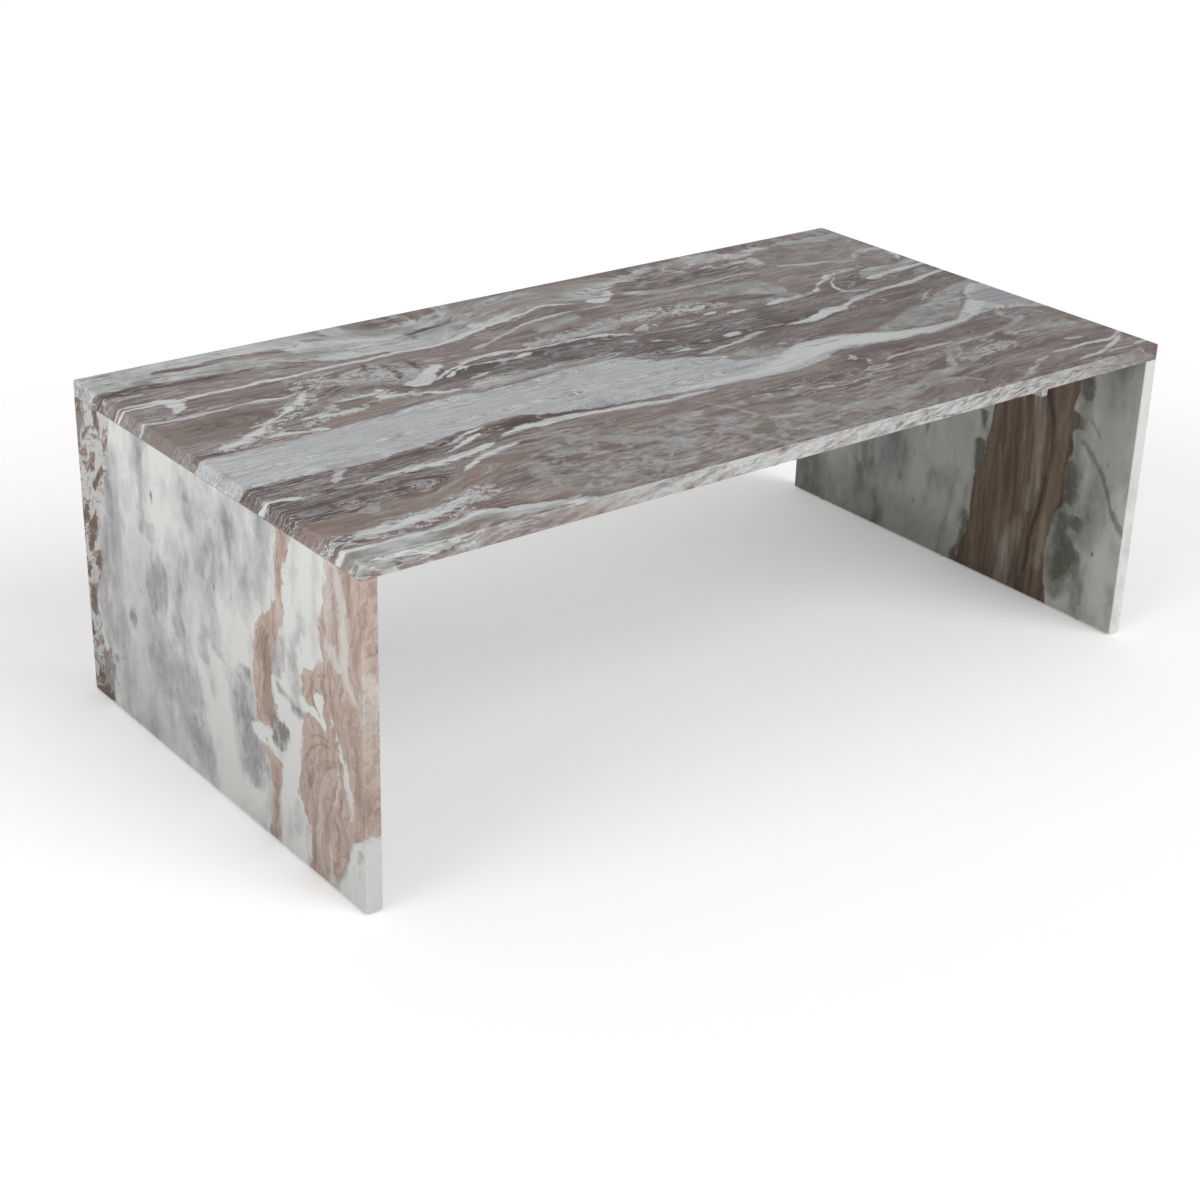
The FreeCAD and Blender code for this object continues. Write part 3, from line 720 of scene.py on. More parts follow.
# The layers lean back by this share of the depth as they go down through the slab
LAYER_LEAN = 0.72
# Painted shade over the top: its colour is scaled from the first share at the left end to the second at
# the right end, darker towards the right where less light falls
LEFT_END_PAINTED_SHADE = 0.91
RIGHT_END_PAINTED_SHADE = 0.715
# Veins of the cut front edge rise to the right, in degrees
EDGE_SLANT = 16.0
# Pale veins are more ragged than bands
VEINS = ("frost", "ash", "vein")
VEIN_FRAY = 1.5
# Share of the pale layer in the top's cut front edge, along x in millimetres
FRONT_EDGE = (
    (-600, 0.1), (-450, 0.15), (-300, 0.4), (-50, 0.9), (150, 0.95), (350, 0.88), (500, 0.4),
    (600, 0.0),
)


def follow_layers(tree, places, along, across, z):
    """Place on the top's layers when laid flat: its height is the same all along one layer."""
    levels = [level for level, _ in TOP_FLOW]
    # Where the rise starts only moves the patterns along
    rise = 0.5
    for level, line in TOP_FLOW:
        weight = [
            (0.5 + other / TOP_SHEET, 1.0 if other == level else 0.0) for other in reversed(levels)
        ]
        share = draw_line(tree, places[1], weight)
        height = draw_line(
            tree, places[0], [(0.5 + a / TOP_SHEET, 0.5 + h / TOP_SHEET) for a, h in line]
        )
        rise = add_node(
            tree, "ShaderNodeMath", {0: share, 1: height, 2: rise}, operation="MULTIPLY_ADD"
        ).outputs[0]
    flat = add_node(
        tree, "ShaderNodeMath", {0: rise, 1: -TOP_SHEET, 2: across}, operation="MULTIPLY_ADD"
    ).outputs[0]
    return add_node(tree, "ShaderNodeCombineXYZ", {0: along, 1: flat, 2: z}).outputs[0]


def top_paints(tree, stone, layer, c):
    """Paints of the top's stone, the paint of its cut front edge, and the pattern of its rims."""
    tone = soft_noise(tree, layer, (120, 30, 80), detail=7, roughness=0.66, contrast=0.42)
    fine = soft_noise(tree, layer, (60, 11, 40), detail=7, roughness=0.68, contrast=0.45, seed=2.3)
    mottle = soft_noise(tree, stone, (34, 15, 20), detail=7, roughness=0.7, contrast=0.45)
    cloud = soft_noise(
        tree, layer, (110, 38, 60), detail=7, roughness=0.64, contrast=0.45, seed=3.7
    )
    drift = soft_noise(tree, layer, (34, 12, 20), detail=6, roughness=0.7, contrast=0.6, seed=9.1)
    silt = soft_noise(tree, layer, (150, 13, 40), detail=7, roughness=0.72, contrast=0.5, seed=6.6)
    # Short pale fibres of the dark bands
    fibres = soft_noise(
        tree, layer, (48, 5, 24), detail=4, roughness=0.62, contrast=0.5, seed=11.2
    )
    pale_lines = hair_lines(tree, layer, (130, 22, 40), width=0.06, strength=0.4, detail=2, seed=5.3)
    dark_lines = hair_lines(tree, layer, (100, 20, 40), width=0.05, strength=0.35, detail=2, seed=1.9)
    squiggles = hair_lines(tree, stone, (40, 22, 20), width=0.07, strength=0.75, detail=3, seed=7.7)
    # Slanted veins of the cut front edge
    slanted = add_node(
        tree, "ShaderNodeMapping",
        {"Vector": stone, "Rotation": (0, math.radians(EDGE_SLANT), 0)},
    ).outputs[0]
    cut = soft_noise(tree, slanted, (42, 30, 9), detail=6, roughness=0.66, contrast=0.5, seed=3.1)
    # Crisp threads of other stone, gathered in patches
    patches = soft_noise(
        tree, stone, (150, 50, 60), detail=3, roughness=0.5, contrast=0.3, seed=8.2
    )
    pale_hairs = hair_lines(tree, layer, (75, 12, 30), width=0.05, strength=0.9, detail=5, seed=13.4)
    dark_hairs = hair_lines(tree, layer, (90, 11, 30), width=0.045, strength=0.8, detail=5, seed=4.7)
    pale_threads, dark_threads = (
        add_node(tree, "ShaderNodeMath", {0: hairs, 1: patches}, operation="MULTIPLY").outputs[0]
        for hairs in (pale_hairs, dark_hairs)
    )
    pale, dark = (c.sage, pale_lines), (c.umber, dark_lines)
    thread, shadow = (c.ash, pale_threads), (c.plum, dark_threads)
    paints = {
        "taupe": ramp_paint(
            tree, tone, (0.15, c.umber), (0.4, c.mauve), (0.6, c.taupe), (0.9, c.sage),
            overlays=(pale, dark, thread),
        ),
        "mauve": ramp_paint(
            tree, fine, (0.15, c.plum), (0.45, c.umber), (0.7, c.mauve), (1.0, c.taupe),
            overlays=(pale, thread),
        ),
        "umber": ramp_paint(
            tree, fibres, (0.2, c.soot), (0.42, c.plum), (0.66, c.umber), (0.74, c.taupe),
            (0.78, c.sage), (0.84, c.mauve), overlays=(thread,),
        ),
        "plum": ramp_paint(
            tree, fibres, (0.15, c.soot), (0.34, c.plum), (0.5, c.umber), (0.56, c.plum),
            (0.65, c.taupe), (0.7, c.ash), (0.76, c.umber), (0.9, c.plum), overlays=(thread,),
        ),
        "soot": ramp_paint(tree, mottle, (0.2, c.soot), (0.8, c.plum)),
        "olive": ramp_paint(
            tree, fine, (0.2, c.umber), (0.45, c.olive), (0.9, c.taupe), overlays=(shadow,)
        ),
        "tan": ramp_paint(
            tree, silt, (0.15, c.umber), (0.3, c.tan), (0.42, c.mauve), (0.5, c.tan),
            (0.6, c.taupe), (0.68, c.ash), (0.76, c.tan),
        ),
        "sage": ramp_paint(
            tree, mottle, (0.15, c.umber), (0.4, c.taupe), (0.6, c.sage), (0.9, c.ash),
            overlays=((c.ash, squiggles), dark, shadow),
        ),
        "sage_pale": ramp_paint(
            tree, mottle, (0.1, c.taupe), (0.4, c.sage), (0.8, c.ash), overlays=(shadow,)
        ),
        "ash": ramp_paint(
            tree, cloud, (0.1, c.taupe), (0.35, c.sage), (0.6, c.ash), (0.9, c.frost),
            overlays=(shadow, (c.frost, pale_threads)),
        ),
        "river": ramp_paint(
            tree, silt, (0.1, c.slate), (0.35, c.mist), (0.44, c.frost), (0.5, c.slate),
            (0.6, c.mist), (0.75, c.frost), (0.85, c.slate),
            overlays=((c.taupe, dark_threads), (c.frost, pale_threads)),
        ),
        "slate": ramp_paint(tree, silt, (0.3, c.slate), (0.9, c.mist)),
        "frost": ramp_paint(tree, silt, (0.15, c.sage), (0.35, c.ash), (0.55, c.frost)),
        "vein": ramp_paint(tree, mottle, (0.1, c.taupe), (0.4, c.sage), (0.8, c.mist)),
        "lace": ramp_paint(
            tree, mottle, (0.15, c.mauve), (0.35, c.umber), (0.42, c.taupe), (0.48, c.frost),
            (0.56, c.ash), (0.64, c.mauve), (0.75, c.umber), (0.85, c.ash), overlays=(thread,),
        ),
    }
    edge = ramp_paint(
        tree, cut, (0.06, c.taupe), (0.2, c.slate), (0.32, c.ash), (0.48, c.frost), (0.62, c.ash),
        (0.74, c.rose_pale), (0.84, c.tan), (0.94, c.umber), overlays=((c.umber, dark_threads),),
    )
    return paints, edge, drift


def top_marble(colours):
    """Banded marble of the top: brown layers, a pale river between them, and white veins."""
    material, tree, place = start_material("banded_marble_honed_top")
    low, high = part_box("top_slab")
    x, y, z = add_node(tree, "ShaderNodeSeparateXYZ", {0: place}).outputs
    lean = add_node(
        tree, "ShaderNodeMath", {0: z, 1: LAYER_LEAN, 2: -LAYER_LEAN * high.z / MM},
        operation="MULTIPLY_ADD",
    ).outputs[0]
    level = add_node(tree, "ShaderNodeMath", {0: y, 1: lean}, operation="ADD").outputs[0]
    leaning = add_node(tree, "ShaderNodeCombineXYZ", {0: x, 1: level, 2: z}).outputs[0]
    stone = wander(tree, leaning, lengths=(60, 30, 60), reach=(14, 10, 0))
    along, across, _ = add_node(tree, "ShaderNodeSeparateXYZ", {0: stone}).outputs
    places = sheet_places(tree, along, across, TOP_SHEET)
    layer = follow_layers(tree, places, along, across, z)
    paints, edge, drift = top_paints(tree, stone, layer, colours)
    streaks = [
        streak._replace(fray=VEIN_FRAY * streak.fray) if streak.paint in VEINS else streak
        for streak in TOP_STREAKS
    ]
    colour = draw_streaks(tree, places, TOP_SHEET, drift, paints, "taupe", streaks)
    # The cut front edge shows a paler layer than the top
    pale_share = draw_line(tree, places[0], [(0.5 + a / TOP_SHEET, share) for a, share in FRONT_EDGE])
    mask = add_node(
        tree, "ShaderNodeMath", {0: front_face(tree, y, low), 1: pale_share}, operation="MULTIPLY"
    ).outputs[0]
    colour = add_node(
        tree, "ShaderNodeMix", {0: mask, 6: colour, 7: edge}, data_type="RGBA"
    ).outputs[2]
    # Painted shade: the top's colour darkens evenly from its left end to its right end
    ends = low.x / MM, high.x / MM
    colour = grade_tone_and_painted_shade(tree, colour, x, ends, (LEFT_END_PAINTED_SHADE, RIGHT_END_PAINTED_SHADE))
    hone(tree, place, colour, (low, high), colours.frost)
    return material


# Left panel: points (z, y, half width) where rising, else (y, z, half width)
LEFT_STREAKS = (
    # Soft grey clouds
    rising("cloud", ((-40, 150, 50), (120, 155, 50), (250, 160, 40), (340, 165, 0)), 14, 6, 0.25),
    Streak("cloud", ((90, 218, 0), (108, 215, 26), (130, 212, 36), (148, 208, 28), (165, 205, 0)),
           8, 10, 0.75),
    Streak("cloud", ((55, 180, 0), (72, 178, 14), (90, 180, 16), (105, 190, 0)), 8, 8, 0.6),
    Streak("cloud", ((15, 100, 0), (40, 110, 34), (75, 105, 45), (110, 110, 40), (150, 115, 30),
                     (175, 120, 0)), 14, 14, 0.6),
    Streak("cloud", ((-5, 50, 0), (15, 45, 22), (40, 48, 28), (62, 55, 18), (75, 60, 0)), 10, 12, 0.6),
    Streak("cloud", ((185, 150, 0), (192, 150, 11), (202, 148, 10), (210, 146, 0)), 5, 5, 0.9),
    rising("cloud", ((60, 240, 0), (110, 238, 12), (175, 235, 20), (240, 230, 20), (300, 222, 16),
                     (350, 220, 10), (385, 218, 0)), 12, 12, 0.45),
    rising("cloud", ((-40, 225, 12), (20, 222, 14), (60, 220, 10), (90, 215, 0)), 10, 10, 0.6),
    rising("cloud", ((-40, 165, 18), (10, 160, 16), (50, 165, 8), (70, 170, 0)), 10, 10, 0.4),
    rising("cloud", ((40, -85, 0), (55, -85, 16), (80, -88, 24), (105, -88, 24), (130, -72, 20),
                     (160, -66, 14), (190, -72, 10), (200, -74, 0)), 8, 12, 0.85),
    rising("cloud", ((168, -40, 0), (180, -20, 10), (192, 0, 12), (205, 15, 12), (214, 15, 0)),
           8, 8, 0.5),
    rising("cloud", ((150, 10, 0), (170, 22, 12), (188, 26, 10), (200, 20, 0)), 8, 8, 0.5),
    rising("cloud", ((240, -80, 0), (290, -95, 16), (320, -114, 22), (350, -120, 24), (385, -130, 20),
                     (420, -135, 20)), 10, 12, 0.55),
    rising("cloud", ((262, 160, 0), (280, 162, 5), (300, 158, 4), (340, 156, 5), (365, 155, 8),
                     (382, 153, 12), (420, 152, 12)), 5, 5, 0.8),
    rising("cloud", ((260, 140, 0), (272, 140, 12), (285, 142, 12), (295, 146, 0)), 7, 8, 0.5),
    rising("cloud", ((300, 62, 0), (330, 48, 6), (350, 38, 5), (365, 30, 0)), 7, 6, 0.4),
    rising("cloud", ((330, 0, 0), (355, 5, 12), (380, 5, 10), (420, 4, 10)), 9, 8, 0.45),
    # White between the clouds
    rising("white", ((-40, -30, 22), (0, -30, 22), (60, -30, 20), (120, -22, 16), (160, -20, 10),
                     (178, -18, 0)), 8, 6),
    # Specks
    Streak("moss", ((-16, 268, 0), (-12, 268, 3.5), (-8, 268, 0)), 2, 2, 0.9),
    Streak("moss", ((2, 308, 0), (5, 308, 2.5), (9, 308, 0)), 2, 2, 0.7),
    Streak("cloud", ((125, 325, 0), (131, 325, 8), (138, 325, 0)), 4, 3),
    Streak("moss", ((167, 192, 0), (171, 192, 3), (175, 192, 0)), 2, 2, 0.6),
    Streak("moss", ((57, 228, 0), (60, 228, 2), (63, 228, 0)), 2, 2, 0.5),
    Streak("moss", ((-55, 275, 0), (-48, 268, 3), (-44, 255, 0)), 3, 3, 0.5),
    rising("cloud", ((50, 262, 0), (90, 266, 14), (150, 270, 16), (220, 262, 12), (290, 252, 0)),
           6, 6, 0.55),
    # Broken brown along the back
    rising("bark", ((-40, 300, 40), (30, 300, 42), (60, 302, 36), (90, 310, 26), (140, 312, 22),
                    (170, 306, 30), (250, 300, 34), (300, 290, 40), (350, 288, 52), (420, 280, 62)),
           6, 10),
    rising("coal", ((276, 281, 0), (285, 278, 6), (298, 270, 7), (310, 260, 5), (318, 252, 0)), 2, 4),
    rising("coal", ((0, 282, 0), (10, 280, 18), (40, 276, 16), (60, 270, 12), (75, 264, 8), (84, 262, 0)),
           4, 26, 0.6),
    rising("coal", ((102, 304, 0), (115, 303, 11), (140, 302, 11), (152, 304, 0)), 4, 10, 0.9),
    rising("coal", ((330, 308, 0), (342, 300, 3), (352, 292, 4), (362, 280, 3), (370, 270, 0)),
           2, 4, 0.8),
    rising("coal", ((305, 318, 0), (330, 312, 7), (370, 306, 9), (420, 300, 9)), 4, 16, 0.75),
    rising("rose", ((70, 245, 0), (73, 240, 4), (77, 232, 3), (82, 226, 0)), 3, 4, 0.8),
    # White band between the two pink veins
    rising("white", ((-40, -168, 26), (60, -168, 26), (120, -172, 22), (200, -172, 26), (250, -190, 28),
                     (300, -198, 40), (420, -212, 44)), 4, 6),
    rising("cloud", ((170, -176, 0), (190, -180, 8), (225, -180, 8), (250, -178, 6), (300, -196, 5),
                     (340, -196, 0)), 6, 8, 0.6),
    Streak("cloud", ((-210, 184, 0), (-195, 186, 3), (-172, 192, 4), (-142, 203, 3), (-130, 206, 0)),
           3, 3, 0.9),
    rising("cloud", ((205, -140, 0), (215, -140, 10), (240, -138, 10), (262, -145, 6), (275, -150, 0)),
           4, 10, 0.55),
    rising("cloud", ((245, -222, 0), (280, -222, 5), (330, -226, 6), (420, -230, 6)), 4, 5, 0.3),
    rising("cloud", ((290, -180, 0), (320, -182, 4), (420, -190, 6)), 4, 5, 0.3),
    rising("cloud", ((20, -176, 0), (45, -178, 8), (70, -180, 8), (85, -184, 0)), 4, 5, 0.35),
    # Pink vein
    rising("rose", ((137, -112, 0), (142, -112, 17), (160, -118, 24), (180, -115, 24), (200, -110, 20),
                    (230, -113, 21), (250, -120, 19), (262, -126, 21), (280, -140, 18), (296, -150, 9),
                    (320, -154, 6), (350, -158, 8), (375, -162, 14), (420, -172, 20)), 2, 12),
    rising("clay", ((140, -118, 0), (150, -120, 9), (180, -124, 14), (210, -120, 10), (240, -118, 12),
                    (255, -116, 8), (268, -124, 0)), 4, 5, 0.6),
    rising("rose", ((-40, -122, 7), (0, -125, 7), (50, -132, 7), (80, -134, 11), (98, -131, 15),
                    (108, -122, 22), (113, -115, 0)), 2, 8),
    rising("clay", ((-40, -124, 4), (50, -133, 4), (90, -136, 6), (105, -128, 0)), 4, 4, 0.6),
    rising("clay", ((290, -148, 0), (320, -153, 4), (350, -156, 5), (420, -168, 10)), 4, 8, 0.5),
    rising("white", ((112, -112, 0), (118, -110, 20), (126, -112, 26), (134, -108, 18), (139, -106, 0)),
           2, 12),
    Streak("coal", ((-120, 122, 0), (-115, 121, 3), (-110, 121, 0)), 2, 2, 0.7),
    rising("moss", ((118, -146, 0), (128, -144, 10), (145, -146, 15), (160, -142, 10), (170, -140, 0)),
           4, 10, 0.85),
    # Pink region at the front
    rising("rose", ((-40, -222, 24), (0, -226, 29), (40, -241, 37), (60, -244, 40), (76, -240, 50),
                    (84, -242, 60), (100, -252, 68), (140, -260, 70), (165, -262, 70), (190, -266, 66),
                    (205, -262, 68), (244, -262, 68), (254, -274, 56), (270, -282, 48), (300, -284, 48),
                    (350, -288, 45), (420, -292, 47)), 2.5, 12),
    rising("clay", ((90, -200, 0), (110, -208, 5), (140, -225, 7), (155, -245, 6), (165, -270, 4),
                    (170, -285, 0)), 5, 5, 0.5),
    rising("clay", ((-40, -210, 5), (40, -212, 5), (80, -215, 5), (110, -212, 0)), 4, 4, 0.5),
    rising("clay", ((100, -305, 0), (140, -304, 6), (200, -304, 6), (235, -300, 0)), 4, 4, 0.5),
    rising("clay", ((270, -300, 0), (300, -302, 7), (350, -296, 6), (420, -290, 5)), 4, 4, 0.5),
    Streak("white", ((-246, 186, 0), (-238, 192, 4), (-226, 198, 5), (-208, 200, 5), (-196, 202, 8),
                     (-186, 204, 0)), 1.5, 5),
    rising("white", ((186, -241, 0), (194, -238, 5), (205, -232, 5), (218, -228, 7), (228, -232, 5),
                     (234, -238, 0)), 1.5, 4),
    rising("white", ((232, -306, 0), (248, -300, 6), (262, -288, 8), (285, -280, 8), (310, -282, 8),
                     (340, -278, 8), (370, -270, 8), (420, -262, 8)), 5, 9, 0.55),
    rising("white", ((265, -276, 0), (275, -266, 8), (290, -258, 9), (300, -252, 5), (308, -250, 0)),
           5, 10, 0.5),
    rising("white", ((250, -246, 0), (275, -246, 4), (310, -250, 5), (350, -252, 6), (420, -250, 6)),
           6, 8, 0.4),
    rising("white", ((84, -294, 0), (100, -292, 3), (130, -288, 4), (155, -280, 4), (190, -266, 3),
                     (208, -256, 2), (216, -254, 0)), 2, 15, 0.85),
    Streak("clay", ((-286, 163, 0), (-262, 158, 1.2), (-245, 150, 1.5), (-235, 140, 2), (-228, 124, 3),
                    (-221, 98, 4), (-216, 70, 4), (-212, 50, 0)), 1.2, 3, 0.8),
    Streak("clay", ((-264, 171, 0), (-245, 172, 1.2), (-225, 166, 1.5), (-210, 156, 2), (-198, 138, 3),
                    (-191, 116, 4), (-186, 98, 0)), 1.2, 3, 0.7),
    Streak("clay", ((-292, 184, 0), (-265, 179, 1.2), (-240, 179, 1.5), (-215, 172, 2), (-200, 160, 0)),
           1.2, 3, 0.6),
    Streak("clay", ((-262, 250, 0), (-245, 256, 1.5), (-230, 250, 1.5), (-212, 240, 1.5), (-200, 238, 0)),
           1.2, 3, 0.6),
    Streak("clay", ((-300, 218, 0), (-285, 228, 1.5), (-270, 242, 1.5), (-258, 262, 2), (-250, 275, 0)),
           1.2, 3, 0.6),
    rising("snow", ((-40, -290, 56), (0, -298, 42), (30, -306, 33), (60, -313, 26), (80, -316, 23),
                    (92, -316, 0)), 4, 6, 0.9),
    # White patch and brown cracks of the cut front face
    rising("white", ((206, -332, 0), (216, -332, 17), (245, -332, 18), (284, -332, 17), (296, -332, 0)),
           7, 14, 0.5),
    rising("clay", ((346, -332, 0), (350, -332, 17), (354, -332, 0)), 1.5, 3, 0.7),
    rising("clay", ((322, -332, 0), (325, -332, 17), (328, -332, 0)), 1.5, 3, 0.7),
    rising("clay", ((301, -332, 0), (306, -332, 17), (311, -332, 0)), 1.5, 3, 0.8),
    rising("clay", ((140, -332, 0), (170, -332, 17), (200, -332, 0)), 3, 6, 0.5),
    rising("cloud", ((50, -300, 0), (62, -302, 4), (72, -303, 5), (82, -303, 0)), 4, 5, 0.6),
)

# Right panel's inner face, in the same terms
RIGHT_STREAKS = (
    Streak("cloud", ((60, 120, 0), (90, 122, 30), (120, 118, 35), (150, 120, 0)), 20, 14, 0.5),
    rising("moss", ((60, -262, 0), (140, -262, 24), (220, -272, 32), (300, -286, 42), (420, -292, 40)),
           12, 3, 0.42),
    rising("white", ((-40, -304, 44), (60, -304, 40), (120, -306, 30), (200, -310, 16), (240, -312, 0)),
           14, 6, 0.6),
    # Dark patch low at the back end, and a broad dark band low along the face that widens towards the
    # back: painted shade under the table
    rising("moss", ((-40, 292, 44), (60, 294, 38), (160, 298, 26), (260, 304, 0)), 12, 6, 0.62),
    Streak("moss", ((-70, 15, 0), (0, 20, 35), (100, 22, 45), (200, 26, 50), (340, 36, 60)), 14, 5, 0.3),
    rising("white", ((50, -24, 0), (120, -20, 14), (200, -30, 18), (300, -45, 16), (420, -62, 14)),
           6, 8, 0.7),
    Streak("cloud", ((68, 143, 0), (72, 143, 6), (77, 143, 0)), 5, 4, 0.8),
    Streak("cloud", ((90, 92, 0), (95, 92, 7), (101, 92, 0)), 5, 4, 0.8),
    Streak("cloud", ((45, 186, 0), (51, 186, 8), (58, 186, 0)), 5, 4, 0.8),
    # Dark patch low at the back end: painted shade under the table
    rising("cloud", ((-40, 285, 30), (60, 290, 26), (140, 290, 0)), 14, 12, 0.5),
    rising("cloud", ((-40, 238, 5), (60, 240, 5), (90, 242, 0)), 6, 6, 0.45),
    rising("cloud", ((-40, 205, 5), (60, 206, 5), (120, 208, 0)), 6, 6, 0.45),
    rising("cloud", ((-40, 168, 6), (50, 170, 5), (100, 172, 0)), 6, 6, 0.45),
    rising("cloud", ((60, 42, 0), (75, 40, 4), (120, 30, 4), (135, 22, 0)), 4, 5, 0.5),
    rising("cloud", ((-40, 12, 4), (60, 2, 5), (110, -8, 6), (140, -12, 4), (160, -8, 0)), 4, 5, 0.5),
    Streak("moss", ((62, 67, 0), (66, 67, 2.5), (70, 67, 0)), 2, 2, 0.7),
    Streak("moss", ((17, 62, 0), (20, 62, 2.5), (24, 62, 0)), 2, 2, 0.7),
    Streak("moss", ((203, 10, 0), (207, 10, 3), (211, 10, 0)), 2, 2, 0.7),
    # Green-grey smudges along the brown band
    rising("moss", ((0, -208, 0), (30, -210, 18), (70, -210, 22), (110, -210, 22), (150, -216, 18),
                    (200, -220, 16), (260, -224, 14), (330, -228, 12), (420, -230, 12)), 6, 3, 0.6),
    rising("moss", ((148, -54, 0), (152, -54, 9), (174, -54, 10), (198, -53, 10), (204, -53, 0)),
           2, 3, 0.85),
    rising("moss", ((206, -56, 0), (215, -57, 5), (240, -55, 8), (248, -54, 0)), 3, 4, 0.85),
    rising("moss", ((-40, -22, 7), (18, -24, 7), (30, -32, 5), (60, -38, 7), (86, -40, 6), (94, -42, 0)),
           3, 4, 0.85),
    rising("moss", ((266, -214, 0), (270, -214, 16), (286, -214, 15), (292, -212, 0)), 3.5, 4, 0.9),
    rising("moss", ((152, -216, 0), (160, -218, 8), (190, -218, 12), (215, -217, 10), (230, -212, 0)),
           3.5, 4, 0.9),
    rising("moss", ((30, -206, 0), (45, -210, 8), (70, -222, 22), (90, -226, 22), (110, -214, 13),
                    (140, -206, 8), (150, -205, 0)), 6, 7, 0.9),
    rising("moss", ((122, -236, 0), (130, -236, 9), (145, -238, 9), (152, -238, 0)), 4, 5, 0.85),
    rising("moss", ((300, -226, 0), (315, -228, 8), (345, -228, 10), (390, -230, 8)), 4, 5, 0.85),
    Streak("moss", ((-340, 130, 5), (-316, 146, 6), (-298, 165, 8), (-285, 192, 9), (-270, 218, 7),
                    (-250, 238, 5), (-232, 252, 3), (-220, 256, 0)), 3, 2, 0.65),
    Streak("moss", ((-266, 262, 0), (-255, 274, 4), (-240, 286, 3), (-222, 290, 0)), 3, 2, 0.6),
    Streak("cloud", ((-250, 80, 0), (-245, 66, 4), (-238, 35, 3), (-232, 20, 0)), 4, 4, 0.6),
    Streak("moss", ((-279, 237, 0), (-275, 237, 2.5), (-271, 237, 0)), 2, 2, 0.8),
    Streak("moss", ((-289, 201, 0), (-284, 201, 3), (-279, 201, 0)), 2, 2, 0.9),
    Streak("moss", ((-276, 102, 0), (-270, 102, 4), (-264, 102, 0)), 2, 2),
    # Brown band
    rising("rust", ((-40, -113, 88), (0, -114, 86), (20, -114, 82), (50, -116, 75), (100, -118, 72),
                    (140, -122, 75), (150, -128, 78), (162, -134, 78), (190, -134, 70), (225, -140, 70),
                    (240, -144, 72), (265, -144, 70), (290, -145, 65), (330, -150, 66), (420, -155, 64)),
           1.5, 3),
    rising("pale_rust", ((90, -144, 0), (140, -150, 7), (200, -157, 9), (250, -156, 10), (300, -150, 10),
                         (420, -152, 9)), 4, 5, 0.85),
    rising("pale_rust", ((-40, -118, 16), (40, -118, 15), (100, -132, 9), (130, -138, 0)), 7, 9, 0.65),
    rising("pale_rust", ((30, -96, 0), (60, -99, 2.5), (100, -99, 3), (150, -96, 3), (200, -88, 2),
                         (220, -84, 0)), 2.5, 3, 0.6),
    rising("pale_rust", ((180, -132, 0), (230, -130, 2), (300, -121, 2.5), (420, -112, 3)), 2.5, 3, 0.6),
    rising("pale_rust", ((25, -172, 0), (50, -176, 7), (90, -180, 8), (120, -180, 5), (145, -184, 0)),
           5, 9, 0.65),
    rising("rust_line", ((20, -152, 0), (40, -155, 3), (80, -158, 3.5), (130, -167, 3.5),
                         (190, -177, 3.5), (220, -183, 4.5), (250, -181, 4.5), (280, -173, 4),
                         (300, -167, 5), (420, -162, 5)), 2, 2),
    rising("rust_line", ((-40, -148, 4), (20, -149, 4), (30, -150, 0)), 2, 2, 0.6),
    rising("rust_line", ((130, -194, 0), (150, -205, 3), (165, -211, 4), (182, -204, 0)), 2, 2, 0.6),
    rising("rust_line", ((80, -188, 0), (110, -190, 3), (140, -196, 3), (160, -206, 3), (200, -203, 2),
                         (240, -212, 3), (270, -211, 0)), 2, 2, 0.7),
    rising("clay", ((-40, -60, 10), (60, -58, 10), (140, -62, 8), (200, -72, 6), (290, -86, 5),
                    (420, -95, 4)), 6, 4, 0.4),
    rising("clay", ((40, -178, 0), (80, -178, 8), (150, -188, 12), (200, -190, 12), (280, -194, 12),
                    (420, -196, 12)), 6, 5, 0.45),
    rising("clay", ((150, -134, 0), (170, -134, 2), (200, -132, 2), (215, -132, 0)), 2, 2, 0.8),
)

PANEL_STREAKS = {"left": LEFT_STREAKS, "right": RIGHT_STREAKS}
# Side of the square sheet on which a panel's streaks are drawn, in millimetres
PANEL_SHEET = 900.0
# Painted shade at the foot of a panel: its colour is scaled down evenly to this share at the foot
FOOT_PAINTED_SHADE = 0.72
# Share of white in each panel's cut front face
FRONT_WHITE = {"left": 0.05, "right": 0.9}
# Turn of the broken brown's pieces, in degrees
BARK_TURN = 42.0
# Clouds and smudges have softer and more ragged rims than veins
CLOUDS = ("cloud", "moss")
CLOUD_SOFT = 2.0
CLOUD_FRAY = 2.4
# Cast of each panel's stone: the right panel's is a green-yellow tint, and also painted shade that
# darkens it all over
PANEL_TINT_AND_SHADE = {"left": (1.0, 1.0, 1.0), "right": (0.9, 0.925, 0.87)}


